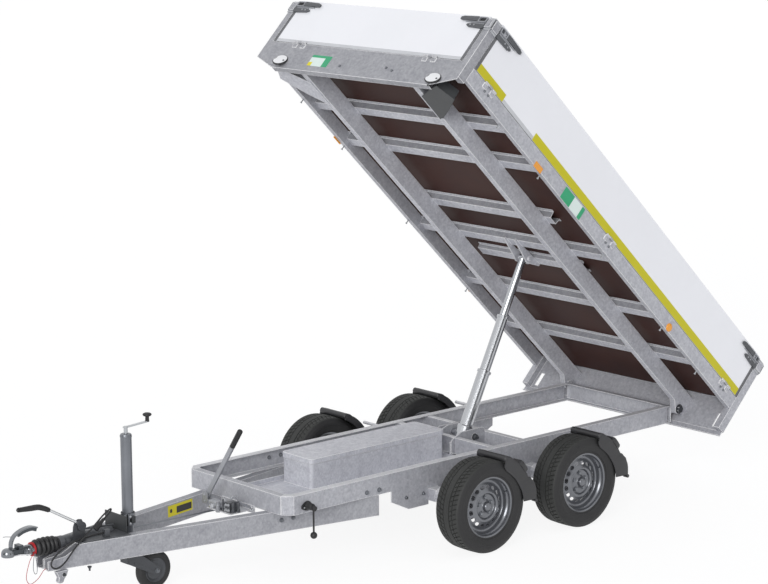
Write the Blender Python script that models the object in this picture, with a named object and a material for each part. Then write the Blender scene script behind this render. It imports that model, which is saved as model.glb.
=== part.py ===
# Tandem-axle tipping trailer, bed raised, drop sides closed. Metres, +Z up, +X to the trailer's left,
# the drawbar towards -Y. Built around the front axle (y = 0), then centred on the floor.
import math
import bmesh
import bpy
from mathutils import Matrix, Vector

for old in list(bpy.data.objects):
    bpy.data.objects.remove(old, do_unlink=True)

# Clearances
GAP = 0.0003
RUN = 0.006

# Wheels, size 195/50 R13
TYRE_R, TYRE_W, TYRE_WALL, TYRE_WIDEST = 0.2625, 0.195, 0.0975, 0.0405
RIM_LIP, RIM_WALL = 0.013, 0.004
TRACK, AXLE_GAP = 1.37, 0.754
WHEEL_SIDES, HUB_BACK = 28, 0.024
# The wheel's face from its middle: radius as a share of the rim's, and how far out it stands
RIM_FACE = ((0.0, 0.066), (0.133, 0.062), (0.158, 0.044), (0.424, 0.034), (0.455, 0.054), (0.533, 0.054),
            (0.800, 0.030), (0.879, 0.030))
RIM_BACK = ((0.800, 0.0245), (0.539, 0.048), (0.458, 0.048), (0.412, HUB_BACK), (0.0, HUB_BACK))
VENTS, VENT_SHARE, VENT_LONG, VENT_WIDE = 16, 0.663, 0.026, 0.018

# Chassis, its height over the hubs and its width inside the track
FRAME_RIDE, FRAME_INSET = 0.2125, 0.2475
FRAME_FRONT, FRAME_REAR = -1.186, 1.858
FRAME_DEEP, FRAME_FLANGE, STEEL = 0.105, 0.045, 0.004
CORNER = 0.05
HOIST_BAY = (0.365, 0.640)
BAY_BAR = 0.035
PLATE_Y, PLATE_DEEP, PLATE_RAMP = (-0.44, 1.19), 0.125, 0.13

# Axles: square tubes behind and above the hubs, arms and drums inside the wheels
AXLE_TUBE, SWING_BACK, SWING_UP = 0.070, 0.125, 0.040
SWING_INSET, SWING_WIDE, SWING_END_R, SWING_HUB_R = 0.140, 0.045, 0.045, 0.034
DRUM_R, DRUM_DEEP, DRUM_LIP, PLATE_AT, STUB_R = 0.098, 0.075, 0.007, (0.002, 0.010), 0.018

# Fenders, between two lines either side of the tyre
FENDER_INSET, FENDER_OUTSET, FENDER_SHEET = 0.125, 0.107, 0.004
STAY_R, STAY_DROP = 0.010, 0.0088
# Stations from the front lip, over the tyre, down behind it: angle, skin over the tread, edge over the tread
FENDER_LINE = ((69, 0.0180, -0.0010), (67, 0.0375, -0.0045), (63, 0.0405, -0.0050), (58, 0.0375, -0.0030),
               (52, 0.0405, 0.0010), (47, 0.0675, 0.0035), (34, 0.0695, 0.0035), (30, 0.0555, 0.0035),
               (24, 0.0555, 0.0035), (20, 0.0825, 0.0045), (6, 0.0895, 0.0055), (-2, 0.0825, 0.0065),
               (-4, 0.0995, 0.0065))

# Drawbar and what stands on it; heights over the top of its arms
ARM_FRONT_X, ARM_FRONT_Y, ARM_REAR_Y = 0.052, -2.45, -0.53
ARM_WIDE, ARM_DEEP, ARM_WALL = 0.05, 0.118, 0.004
TAPER_Y, TAPER_DROP = -2.265, 0.0517
NOSE_Y, BALL_OVER, SHAFT_OVER = -2.690, 0.0053, 0.0023
HOUSING_R, HOUSING_Y = 0.035, (-2.355, -2.02)
HEAD_PLATE_Y, HEAD_PLATE_T = (-2.27, -1.99), 0.006
BELLOWS_Y, BELLOWS_R, BELLOWS_FOLDS = (-2.500, -2.357), 0.049, 4
SHAFT_R, BRAKE_X = 0.021, 0.041
JOCKEY_Y, JOCKEY_TUBE_R, JOCKEY_OVER = -1.905, 0.030, 0.5003
CLAMP_OVER, CLAMP_PLATE_Y = (0.0153, 0.0803), (-1.985, -1.979)
CASTER_R, CASTER_W, CASTER_TRAIL = 0.105, 0.055, 0.155
FORK_OVER, TUBE_OVER, CRANK_REACH = 0.012, 0.048, 0.140

# Pump, crank and brake rod; heights over the underside of the chassis
PUMP_Y, PUMP_OVER, PUMP_R = -1.302, 0.008, 0.024
LEVER_FOOT, LEVER_TIP, GRIP_LONG = (-0.090, 0.045), (0.200, 0.450), 0.115
CRANK_Y, CRANK_OVER, CRANK_REACH_OUT, CRANK_DROP, CRANK_BALL_R = -1.017, 0.032, 0.0700, 0.163, 0.019
ROD_X, ROD_R, ROD_DROP = -0.060, 0.005, (0.025, 0.035)

# Bed, lying flat: s forward from its pivot, n up from it
PIVOT_Y, PIVOT_DROP, TILT = 1.875, 0.015, math.radians(44.4)
PIVOT_BOLT_R, LUG_R, LUG_T = 0.013, 0.028, 0.008
BED_FRONT, BED_REAR, BED_OUTSET = 3.11, -0.07, 0.145
BEAM_OUT, BEAM_WIDE, BEAM_TALL, BEAM_UNDER, BEAM_WALL = 0.008, 0.040, 0.100, 0.017, 0.004
CROSS_TALL, FLOOR_T = 0.042, 0.015
RAIL_UNDER, RAIL_WIDE, RAIL_WALL, RAIL_BELOW_FLOOR = 0.083, 0.032, 0.003, 0.010
BOARD_TALL, BOARD_T, BOARD_GAP, BOARD_PLAY = 0.3024, 0.028, 0.0036, 0.003
POST_LONG, POST_WIDE = 0.058, 0.045
HINGE_OUT, KNUCKLE_R, KNUCKLE_LONG, HINGE_LEAF = 0.008, 0.006, 0.034, 0.045
HINGE_S, END_HINGE_IN = (2.89, 1.56, 0.14), 0.29
END_PLATE = 0.004
FRONT_PLATE_UNDER, FRONT_PLATE_IN = -0.016, 0.180
REAR_PLATE_UNDER = -0.056
SLOT_IN, SLOT_N = (0.095, 0.065), (-0.035, 0.060)
# Corner latches: lever on the board, keeper on the post; down from the board's top
LATCH_LONG, LATCH_T, LATCH_DROP, KEEPER_T = 0.200, 0.014, (0.078, 0.036), 0.010

# Hoist: trunnion on the chassis, eye on the bed, in the middle of the trailer
TRUNNION_Y, TRUNNION_DROP, TRUNNION_R = 0.522, 0.025, 0.020
EAR_X, EAR_T, EAR_LAP = 0.082, 0.010, 0.030
EYE_S, EYE_N, EYE_R = 1.30, 0.100, 0.020
EYE_EAR_X, EYE_EAR_T = 0.040, 0.008
BARREL_R, STAGE_R = 0.0475, (0.0375, 0.031, 0.024)
BARREL_BELOW, BARREL_ABOVE, COLLAR = 0.375, 0.050, 0.016

# Pump box
BOX_X, BOX_Y, BOX_OVER = 0.125, (-0.75, 0.25), 0.073
TRAY_T, TRAY_FAR = 0.003, -0.150

# Values that follow from those above
HUB_Z = TYRE_R
RIM_R = TYRE_R - TYRE_WALL
RIM_FLANGE = RIM_R + RIM_LIP
FRAME_HALF = TRACK / 2 - FRAME_INSET
FRAME_TOP = HUB_Z + FRAME_RIDE
FRAME_UNDER = FRAME_TOP - FRAME_DEEP
SWING_OUT = TRACK / 2 - SWING_INSET
SWING_IN = SWING_OUT - SWING_WIDE
FENDER_IN, FENDER_OUT = TRACK / 2 - FENDER_INSET, TRACK / 2 + FENDER_OUTSET
ARM_TOP = FRAME_UNDER - GAP
ARM_UNDER = ARM_TOP - ARM_DEEP
SHAFT_Z, BALL_Z = ARM_TOP + SHAFT_OVER, ARM_TOP + BALL_OVER
FORK_TOP = 2 * CASTER_R + FORK_OVER
JOCKEY_TUBE_BOTTOM, JOCKEY_TOP = FORK_TOP + TUBE_OVER, ARM_TOP + JOCKEY_OVER
PUMP_Z = FRAME_UNDER + PUMP_OVER
CRANK_Z, CRANK_OUT = FRAME_UNDER + CRANK_OVER, FRAME_HALF + CRANK_REACH_OUT
PIVOT_Z, TRUNNION_Z, BOX_TOP = FRAME_TOP - PIVOT_DROP, FRAME_TOP - TRUNNION_DROP, FRAME_TOP + BOX_OVER
BED_HALF = TRACK / 2 + BED_OUTSET
BEAM_X = FRAME_HALF + BEAM_OUT
BEAM_TOP = BEAM_UNDER + BEAM_TALL
FLOOR_UNDER = BEAM_TOP + GAP + CROSS_TALL + GAP
FLOOR_TOP = FLOOR_UNDER + FLOOR_T
RAIL_TOP = FLOOR_TOP - RAIL_BELOW_FLOOR
BOARD_UNDER = RAIL_TOP + BOARD_GAP
BOARD_TOP = BOARD_UNDER + BOARD_TALL
HINGE_N = RAIL_TOP + KNUCKLE_R / 2
END_HINGE_X = BED_HALF - END_HINGE_IN
FRONT_PLATE_EDGE = BED_HALF - FRONT_PLATE_IN
SLOT_X = tuple(BED_HALF - inset for inset in SLOT_IN)

# Cross members of the bed: middle s, long ones reach the side rails, short ones end past the beams
CROSSES = (("front", 2.585, True), ("second", 2.245, True), ("third", 1.735, False), ("hoist", 1.425, True),
           ("sixth", 0.875, True), ("rear", 0.405, True))
CROSS_WIDE, CROSS_FLANGE, CROSS_STEEL = 0.105, 0.016, 0.003
SHORT_REACH = 0.050
SHORT_CROSS_S, SHORT_CROSS_TALL = 1.235, 0.028

COLOURS = {
    "galvanised": ((0.62, 0.63, 0.66), 0.45, 0.8),
    "board": ((0.86, 0.87, 0.90), 0.35, 0.0),
    "ply": ((0.10, 0.05, 0.045), 0.5, 0.0),
    "rubber": ((0.03, 0.03, 0.032), 0.85, 0.0),
    "wheel": ((0.42, 0.43, 0.45), 0.4, 0.7),
    "plastic": ((0.045, 0.045, 0.048), 0.6, 0.0),
    "dark_steel": ((0.09, 0.095, 0.105), 0.45, 0.6),
    "chrome": ((0.75, 0.76, 0.78), 0.15, 1.0),
    "zinc": ((0.60, 0.62, 0.63), 0.3, 0.9),
    "cable_red": ((0.55, 0.02, 0.02), 0.5, 0.0),
}
MATERIALS = {}
for finish, (colour, roughness, metallic) in COLOURS.items():
    made = bpy.data.materials.new(finish)
    made.use_nodes = True
    shader = made.node_tree.nodes["Principled BSDF"]
    shader.inputs["Base Color"].default_value = (*colour, 1.0)
    shader.inputs["Roughness"].default_value = roughness
    shader.inputs["Metallic"].default_value = metallic
    MATERIALS[finish] = made


def empty(name, place, parent=None, turn=(0, 0, 0)):
    made = bpy.data.objects.new(name, None)
    made.location = place
    made.rotation_euler = turn
    made.parent = parent
    bpy.context.collection.objects.link(made)
    return made


def finish_object(name, bm, finish, parent, smooth=None):
    mesh = bpy.data.meshes.new(name)
    bmesh.ops.remove_doubles(bm, verts=bm.verts, dist=1e-6)
    bmesh.ops.recalc_face_normals(bm, faces=bm.faces)
    bm.to_mesh(mesh)
    bm.free()
    if smooth:
        mesh.shade_smooth()
        mesh.set_sharp_from_angle(angle=math.radians(smooth))
    made = bpy.data.objects.new(name, mesh)
    mesh.materials.append(MATERIALS[finish])
    made.parent = parent
    bpy.context.collection.objects.link(made)
    return made


def loft(loops, closed=False):
    """A skin through loops of equally many points, capped at both ends unless it closes on itself."""
    bm = bmesh.new()
    rings = [[bm.verts.new(point) for point in loop] for loop in loops]
    pairs = list(zip(rings, rings[1:]))
    if closed:
        pairs.append((rings[-1], rings[0]))
    for low, high in pairs:
        for i in range(len(low)):
            j = (i + 1) % len(low)
            bm.faces.new((low[i], low[j], high[j], high[i]))
    if not closed:
        bm.faces.new(rings[0])
        bm.faces.new(rings[-1])
    return bm


def place_uv(axis, along, u, v):
    return {"X": (along, u, v), "Y": (u, along, v), "Z": (u, v, along)}[axis]


def prism(outline, axis, low, high):
    """An outline of (y, z), (x, z) or (x, y) points, pushed along the axis left out."""
    return loft([[place_uv(axis, along, u, v) for u, v in outline] for along in (low, high)])


def block(low, high):
    corners = ((low[0], low[1]), (high[0], low[1]), (high[0], high[1]), (low[0], high[1]))
    return prism(corners, "Z", low[2], high[2])


def arc(centre, radius, start, end, steps):
    return [(centre[0] + radius * math.cos(a), centre[1] + radius * math.sin(a))
            for a in (math.radians(start + (end - start) * i / steps) for i in range(steps + 1))]


def frame_of(direction):
    return Vector(direction).to_track_quat("Z", "Y").to_matrix().to_4x4()


def turned(profile, start, direction, sides=24):
    """A profile of (radius, distance) points turned about a line; radius 0 closes an end."""
    place = Matrix.Translation(start) @ frame_of(direction)
    bm = bmesh.new()
    rings = []
    for radius, along in profile:
        if radius < 1e-6:
            rings.append([bm.verts.new(place @ Vector((0, 0, along)))])
            continue
        rings.append([bm.verts.new(place @ Vector((radius * math.cos(2 * math.pi * i / sides),
                                                   radius * math.sin(2 * math.pi * i / sides), along)))
                      for i in range(sides)])
    closed = len(rings[0]) > 1 and len(rings[-1]) > 1
    pairs = list(zip(rings, rings[1:])) + ([(rings[-1], rings[0])] if closed else [])
    for low, high in pairs:
        for i in range(sides):
            j = (i + 1) % sides
            if len(low) == 1:
                bm.faces.new((low[0], high[j], high[i]))
            elif len(high) == 1:
                bm.faces.new((low[i], low[j], high[0]))
            else:
                bm.faces.new((low[i], low[j], high[j], high[i]))
    return bm


def rod(start, end, radius, sides=12):
    span = Vector(end) - Vector(start)
    return turned(((0, 0), (radius, 0), (radius, span.length), (0, span.length)), start, span, sides)


def pipe(start, end, radius, wall, sides=20):
    span = Vector(end) - Vector(start)
    inner = radius - wall
    return turned(((radius, 0), (radius, span.length), (inner, span.length), (inner, 0)), start, span, sides)


def bent_rod(points, radius, sides=8):
    """A round bar through a list of points, mitred at each bend."""
    points = [Vector(point) for point in points]
    loops = []
    side = None
    for i, point in enumerate(points):
        before = (point - points[i - 1]).normalized() if i else (points[1] - point).normalized()
        after = (points[i + 1] - point).normalized() if i + 1 < len(points) else before
        along = (before + after).normalized()
        if side is None:
            side = along.orthogonal().normalized()
        side = (side - along * side.dot(along)).normalized()
        other = along.cross(side)
        loops.append([point + radius * (math.cos(2 * math.pi * k / sides) * side
                                        + math.sin(2 * math.pi * k / sides) * other) for k in range(sides)])
    return loft(loops)


def offset_line(path, distance, before=None, after=None):
    """A plan line moved sideways by distance, its ends mitred towards the points before and after it."""
    line = [before] * bool(before) + list(path) + [after] * bool(after)
    line = [Vector((*point, 0.0)) for point in line]
    moved = []
    for i, point in enumerate(line):
        ways = [(b - a).normalized() for a, b in zip(line[max(i - 1, 0):i + 1], line[i:i + 2])]
        ways = [way for way in ways if way.length > 0] if i else [(line[1] - line[0]).normalized()]
        if 0 < i < len(line) - 1:
            ways = [(point - line[i - 1]).normalized(), (line[i + 1] - point).normalized()]
        normals = [Vector((-way.y, way.x, 0.0)) for way in ways]
        middle = sum(normals, Vector()).normalized()
        moved.append(point + middle * (distance / middle.dot(normals[0])))
    first = 1 if before else 0
    return [(point.x, point.y) for point in moved[first:first + len(path)]]


def swept(path, section, before=None, after=None):
    """A section of (sideways, z) points run along a plan line with mitred corners."""
    lines = [offset_line(path, sideways, before, after) for sideways, height in section]
    loops = [[(*line[i], height) for line, (sideways, height) in zip(lines, section)]
             for i in range(len(path))]
    return loft(loops)


def channel(flange, top, deep, wall, side=1):
    """A channel section, its web on the line and its flanges to one side."""
    under = top - deep
    return [(0, under), (side * flange, under), (side * flange, under + wall), (side * wall, under + wall),
            (side * wall, top - wall), (side * flange, top - wall), (side * flange, top), (0, top)]


def boolean(base, others, operation):
    """Joins or cuts closed shapes and returns the result as one shape."""
    target = bpy.data.objects.new("base", bpy.data.meshes.new("base"))
    tools = []
    bpy.context.collection.objects.link(target)
    bmesh.ops.recalc_face_normals(base, faces=base.faces)
    base.to_mesh(target.data)
    for shape in others:
        tool = bpy.data.objects.new("tool", bpy.data.meshes.new("tool"))
        bmesh.ops.recalc_face_normals(shape, faces=shape.faces)
        shape.to_mesh(tool.data)
        bpy.context.collection.objects.link(tool)
        tools.append(tool)
        step = target.modifiers.new("step", "BOOLEAN")
        step.operation, step.object = operation, tool
    bpy.context.view_layer.update()
    seen = target.evaluated_get(bpy.context.evaluated_depsgraph_get())
    result = bmesh.new()
    result.from_mesh(seen.to_mesh())
    for used in (target, *tools):
        bpy.data.objects.remove(used, do_unlink=True)
    return result


def fused(*shapes):
    return boolean(shapes[0], shapes[1:], "UNION")


def cut(base, *cutters):
    return boolean(base, cutters, "DIFFERENCE")


def arm_x(y):
    """Outer face of the left drawbar arm, which runs straight from the coupling to under the frame."""
    return ARM_FRONT_X + (FRAME_HALF - ARM_FRONT_X) * (y - ARM_FRONT_Y) / (ARM_REAR_Y - ARM_FRONT_Y)


SIDES = (("left", 1), ("right", -1))
ROOT = empty("chassis", (0, 0, 0))
PIVOT = empty("bed_pivot", (0, PIVOT_Y, PIVOT_Z), ROOT, (-TILT, 0, 0))


def fender_point(axle_y, angle, radius):
    return axle_y + radius * math.cos(math.radians(angle)), HUB_Z + radius * math.sin(math.radians(angle))


def arc_radius(angle):
    """Radius of the fender's skin at an angle between two of its stations."""
    for (a, first, _), (b, second, _) in zip(FENDER_LINE, FENDER_LINE[1:]):
        if b <= angle <= a:
            return TYRE_R + first + (second - first) * (a - angle) / (a - b)
    return TYRE_R


def stay_point(axle_y):
    """Middle of a fender's stay: under the fender's skin, just under the top of the frame that carries it."""
    high = FRAME_RIDE - STAY_DROP
    angle = math.degrees(math.asin(high / (TYRE_R + FENDER_LINE[5][1])))
    for _ in range(6):
        radius = arc_radius(angle) - FENDER_SHEET - STAY_R - GAP
        angle = math.degrees(math.asin(high / radius))
    return fender_point(axle_y, angle, radius)


def build_frame():
    for name, side in SIDES:
        corner = ((side * (FRAME_HALF - CORNER), FRAME_FRONT), (side * FRAME_HALF, FRAME_FRONT + CORNER),
                  (side * FRAME_HALF, FRAME_REAR - BAY_BAR - GAP))
        section = channel(FRAME_FLANGE, FRAME_TOP, FRAME_DEEP, STEEL, side)
        member = swept(corner, section, before=(0, FRAME_FRONT))
        under = FRAME_UNDER - PLATE_DEEP
        notches = []
        for axle_y in (0, AXLE_GAP):
            tube_y, tube_z = axle_y - SWING_BACK, HUB_Z + SWING_UP
            half = AXLE_TUBE / 2 + GAP
            notches += [(tube_y - half, under), (tube_y - half, tube_z + half),
                        (tube_y + half, tube_z + half), (tube_y + half, under)]
        outline = [(PLATE_Y[0], FRAME_UNDER + STEEL / 2), (PLATE_Y[0], FRAME_UNDER - PLATE_DEEP / 2),
                   (PLATE_Y[0] + PLATE_RAMP, under), *notches, (PLATE_Y[1] - PLATE_RAMP, under),
                   (PLATE_Y[1], FRAME_UNDER - PLATE_DEEP / 2), (PLATE_Y[1], FRAME_UNDER + STEEL / 2)]
        low, high = sorted((side * FRAME_HALF, side * (FRAME_HALF - STEEL)))
        plate = prism(outline, "X", low, high)
        stays = []
        for axle_y in (0, AXLE_GAP):
            y, z = stay_point(axle_y)
            stays.append(rod((side * (FRAME_HALF - STEEL / 2), y, z),
                             (side * (FENDER_IN - GAP), y, z), STAY_R, 8))
        finish_object("side_member_" + name, fused(member, plate, *stays), "galvanised", ROOT, 30)

    front = ((-FRAME_HALF + CORNER + GAP, FRAME_FRONT), (FRAME_HALF - CORNER - GAP, FRAME_FRONT))
    turn = (FRAME_HALF + CORNER, FRAME_FRONT + 2 * CORNER)
    finish_object("front_cross_member",
                  swept(front, channel(FRAME_FLANGE, FRAME_TOP, FRAME_DEEP, STEEL),
                        before=(-turn[0], turn[1]), after=turn), "galvanised", ROOT)
    rear = ((FRAME_HALF, FRAME_REAR), (-FRAME_HALF, FRAME_REAR))
    lugs = []
    for side in (1, -1):
        low, high = sorted((side * (FRAME_HALF - LUG_T), side * FRAME_HALF))
        outline = arc((PIVOT_Y, PIVOT_Z), LUG_R, -90, 90, 8) + [(FRAME_REAR - STEEL / 2, PIVOT_Z + LUG_R - STEEL),
                                                                (FRAME_REAR - STEEL / 2, PIVOT_Z - LUG_R - STEEL)]
        hole = rod((low - 0.01, PIVOT_Y, PIVOT_Z), (high + 0.01, PIVOT_Y, PIVOT_Z), PIVOT_BOLT_R + 2 * GAP, 24)
        lugs.append(cut(prism(outline, "X", low, high), hole))
    finish_object("rear_cross_member",
                  fused(swept(rear, channel(BAY_BAR, FRAME_TOP, FRAME_DEEP, STEEL)), *lugs), "galvanised", ROOT, 30)


def build_hoist_mount():
    inner = FRAME_HALF - STEEL - GAP
    bar_top, bar_under = FRAME_TOP - STEEL - GAP, FRAME_UNDER + STEEL + GAP
    bars = []
    for y in (HOIST_BAY[0], HOIST_BAY[1] - BAY_BAR):
        bars.append(block((-inner, y, bar_under), (inner, y + BAY_BAR, bar_top)))
    ears = []
    for side in (1, -1):
        low, high = sorted((side * EAR_X, side * (EAR_X + EAR_T)))
        outline = ((HOIST_BAY[0] - EAR_LAP, bar_under), (HOIST_BAY[1] + EAR_LAP, bar_under),
                   (HOIST_BAY[1] + EAR_LAP, FRAME_TOP - 0.030), (TRUNNION_Y + 0.045, TRUNNION_Z + 0.045),
                   (TRUNNION_Y - 0.045, TRUNNION_Z + 0.045), (HOIST_BAY[0] - EAR_LAP, FRAME_TOP - 0.030))
        ear = prism(outline, "X", low, high)
        hole = rod((low - 0.01, TRUNNION_Y, TRUNNION_Z), (high + 0.01, TRUNNION_Y, TRUNNION_Z),
                   TRUNNION_R + GAP, 20)
        ears.append(cut(ear, hole))
    finish_object("hoist_mount", fused(*bars, *ears), "galvanised", ROOT, 30)


def build_axles():
    for name, axle_y in (("front", 0), ("rear", AXLE_GAP)):
        tube_y, tube_z, half = axle_y - SWING_BACK, HUB_Z + SWING_UP, AXLE_TUBE / 2
        shapes = [block((-SWING_IN, tube_y - half, tube_z - half), (SWING_IN, tube_y + half, tube_z + half))]
        for side in (1, -1):
            low, high = sorted((side * (SWING_IN - 0.005), side * SWING_OUT))
            swing = math.degrees(math.atan2(HUB_Z - tube_z, axle_y - tube_y))
            outline = (arc((tube_y, tube_z), SWING_END_R, swing + 90, swing + 270, 8)
                       + arc((axle_y, HUB_Z), SWING_HUB_R, swing - 90, swing + 90, 8))
            shapes.append(prism(outline, "X", low, high))
            for inner, outer, radius, sides in (
                    (SWING_OUT - PLATE_AT[1], TRACK / 2 + HUB_BACK - GAP, STUB_R, 16),
                    (SWING_OUT, SWING_OUT + DRUM_DEEP, DRUM_R, 20),
                    (SWING_OUT - PLATE_AT[0], SWING_OUT + PLATE_AT[1], DRUM_R + DRUM_LIP, 20)):
                shapes.append(rod((side * inner, axle_y, HUB_Z), (side * outer, axle_y, HUB_Z), radius, sides))
        finish_object("axle_" + name, fused(*shapes), "galvanised", ROOT, 30)


def build_fenders():
    for axle, axle_y in (("front", 0), ("rear", AXLE_GAP)):
        for name, side in SIDES:
            loops = []
            for angle, skin, edge in FENDER_LINE:
                radius, lip = TYRE_R + skin, TYRE_R + edge
                sheet = radius - FENDER_SHEET
                section = ((FENDER_IN, lip), (FENDER_IN, radius), (FENDER_OUT, radius), (FENDER_OUT, lip),
                           (FENDER_OUT - FENDER_SHEET, lip), (FENDER_OUT - FENDER_SHEET, sheet),
                           (FENDER_IN + FENDER_SHEET, sheet), (FENDER_IN + FENDER_SHEET, lip))
                loops.append([(side * x, *fender_point(axle_y, angle, r)) for x, r in section])
            finish_object("fender_" + axle + "_" + name, loft(loops), "plastic", ROOT, 30)


def build_drawbar():
    for name, side in SIDES:
        front = (side * ARM_FRONT_X, ARM_FRONT_Y)
        rear = (side * FRAME_HALF, ARM_REAR_Y)
        section = [(0, ARM_UNDER), (side * ARM_WIDE, ARM_UNDER), (side * ARM_WIDE, ARM_TOP), (0, ARM_TOP)]
        core = [(side * ARM_WALL, ARM_UNDER + ARM_WALL), (side * (ARM_WIDE - ARM_WALL), ARM_UNDER + ARM_WALL),
                (side * (ARM_WIDE - ARM_WALL), ARM_TOP - ARM_WALL), (side * ARM_WALL, ARM_TOP - ARM_WALL)]
        way = (Vector((*rear, 0)) - Vector((*front, 0))).normalized() * 0.02
        longer = ((front[0] - way.x, front[1] - way.y), (rear[0] + way.x, rear[1] + way.y))
        arm = cut(swept((front, rear), section), swept(longer, core))
        low, high = sorted((-side * 0.2, side * 0.2))
        taper_z = ARM_TOP - TAPER_DROP
        taper = prism(((ARM_FRONT_Y - 0.02, taper_z - 0.018), (BELLOWS_Y[1] + 0.005, taper_z), (TAPER_Y, ARM_TOP + 0.001),
                       (TAPER_Y, ARM_TOP + 0.1), (ARM_FRONT_Y - 0.02, ARM_TOP + 0.1)), "X", low, high)
        finish_object("drawbar_arm_" + name, cut(arm, taper), "galvanised", ROOT)


def arm_inner(y):
    slope = (FRAME_HALF - ARM_FRONT_X) / (ARM_REAR_Y - ARM_FRONT_Y)
    return arm_x(y) - ARM_WIDE * math.hypot(1, slope)


def build_overrun():
    tube = turned(((0, 0), (HOUSING_R, 0), (HOUSING_R, 0.03), (HOUSING_R - 0.004, 0.04),
                   (HOUSING_R - 0.004, HOUSING_Y[1] - HOUSING_Y[0]), (0, HOUSING_Y[1] - HOUSING_Y[0])),
                  (0, HOUSING_Y[0], SHAFT_Z), (0, 1, 0), 20)
    low = ARM_TOP + GAP
    corners = [(arm_x(HEAD_PLATE_Y[0]) - 0.004, HEAD_PLATE_Y[0]), (arm_x(HEAD_PLATE_Y[1]) - 0.004, HEAD_PLATE_Y[1])]
    plate = prism(corners + [(-x, y) for x, y in reversed(corners)], "Z", low, low + HEAD_PLATE_T)
    gland = block((LEAD[0][0] - GLAND_HALF, LEAD[0][1] + GAP, low + HEAD_PLATE_T / 2),
                  (LEAD[0][0] + GLAND_HALF, LEAD[0][1] + 0.030, ARM_TOP + LEAD[0][2] + 0.016))
    finish_object("overrun_housing", fused(tube, plate, gland), "dark_steel", ROOT, 30)

    folds = []
    pitch = (BELLOWS_Y[1] - BELLOWS_Y[0] - 2 * GAP) / BELLOWS_FOLDS
    inner = SHAFT_R + GAP
    for i in range(BELLOWS_FOLDS):
        folds += [(BELLOWS_R - 0.014, i * pitch), (BELLOWS_R, (i + 0.35) * pitch), (BELLOWS_R, (i + 0.65) * pitch)]
    folds.append((BELLOWS_R - 0.014, BELLOWS_FOLDS * pitch))
    profile = folds + [(inner, BELLOWS_FOLDS * pitch), (inner, 0)]
    finish_object("bellows", turned(profile, (0, BELLOWS_Y[0] + GAP, SHAFT_Z), (0, 1, 0), 16), "rubber", ROOT, 40)

    shaft = rod((0, BELLOWS_Y[0] - 0.03, SHAFT_Z), (0, HOUSING_Y[0] - GAP, SHAFT_Z), SHAFT_R, 16)
    neck = [(0.026, 0), (0.026, 0.03), (0.031, 0.06), (0.036, 0.10)]
    cup = turned(((0, 0),) + tuple(neck) + tuple((0.036 * math.cos(a), 0.13 + 0.036 * math.sin(a))
                 for a in (math.radians(k) for k in (0, 20, 40, 60, 75))) + ((0, 0.166),),
                 (0, NOSE_Y + 0.166, BALL_Z + 0.008), (0, -1, 0), 20)
    collar = block((-0.030, BELLOWS_Y[0] - 0.045, SHAFT_Z - 0.026), (0.030, BELLOWS_Y[0] - GAP, SHAFT_Z + 0.026))
    handle = bent_rod([(0, y, SHAFT_Z + over) for y, over in ((-2.600, 0.028), (-2.585, 0.083), (-2.555, 0.110),
                                                               (-2.500, 0.112), (-2.462, 0.094))], 0.009, 8)
    finish_object("coupling_head", fused(cup, shaft, collar, handle), "zinc", ROOT, 30)

    ear_top = ARM_TOP + 0.0823
    ear = prism(((-2.262, low + HEAD_PLATE_T + GAP), (-2.185, low + HEAD_PLATE_T + GAP), (-2.200, ear_top),
                 (-2.240, ear_top)), "X", BRAKE_X - 0.003, BRAKE_X + 0.003)
    bar = bent_rod([(BRAKE_X, y, ARM_TOP + over) for y, over in ((-2.222, 0.0653), (-2.396, 0.1673), (-2.470, 0.2013),
                                                                 (-2.500, 0.2073))], 0.0075, 8)
    grip = turned(((0, 0), (0.013, 0.004), (0.015, 0.05), (0.013, 0.150), (0, 0.160)),
                  (BRAKE_X, -2.425, ARM_TOP + 0.1788), (0, -0.160, 0.026), 12)
    finish_object("handbrake", fused(ear, bar, grip), "dark_steel", ROOT, 30)


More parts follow.
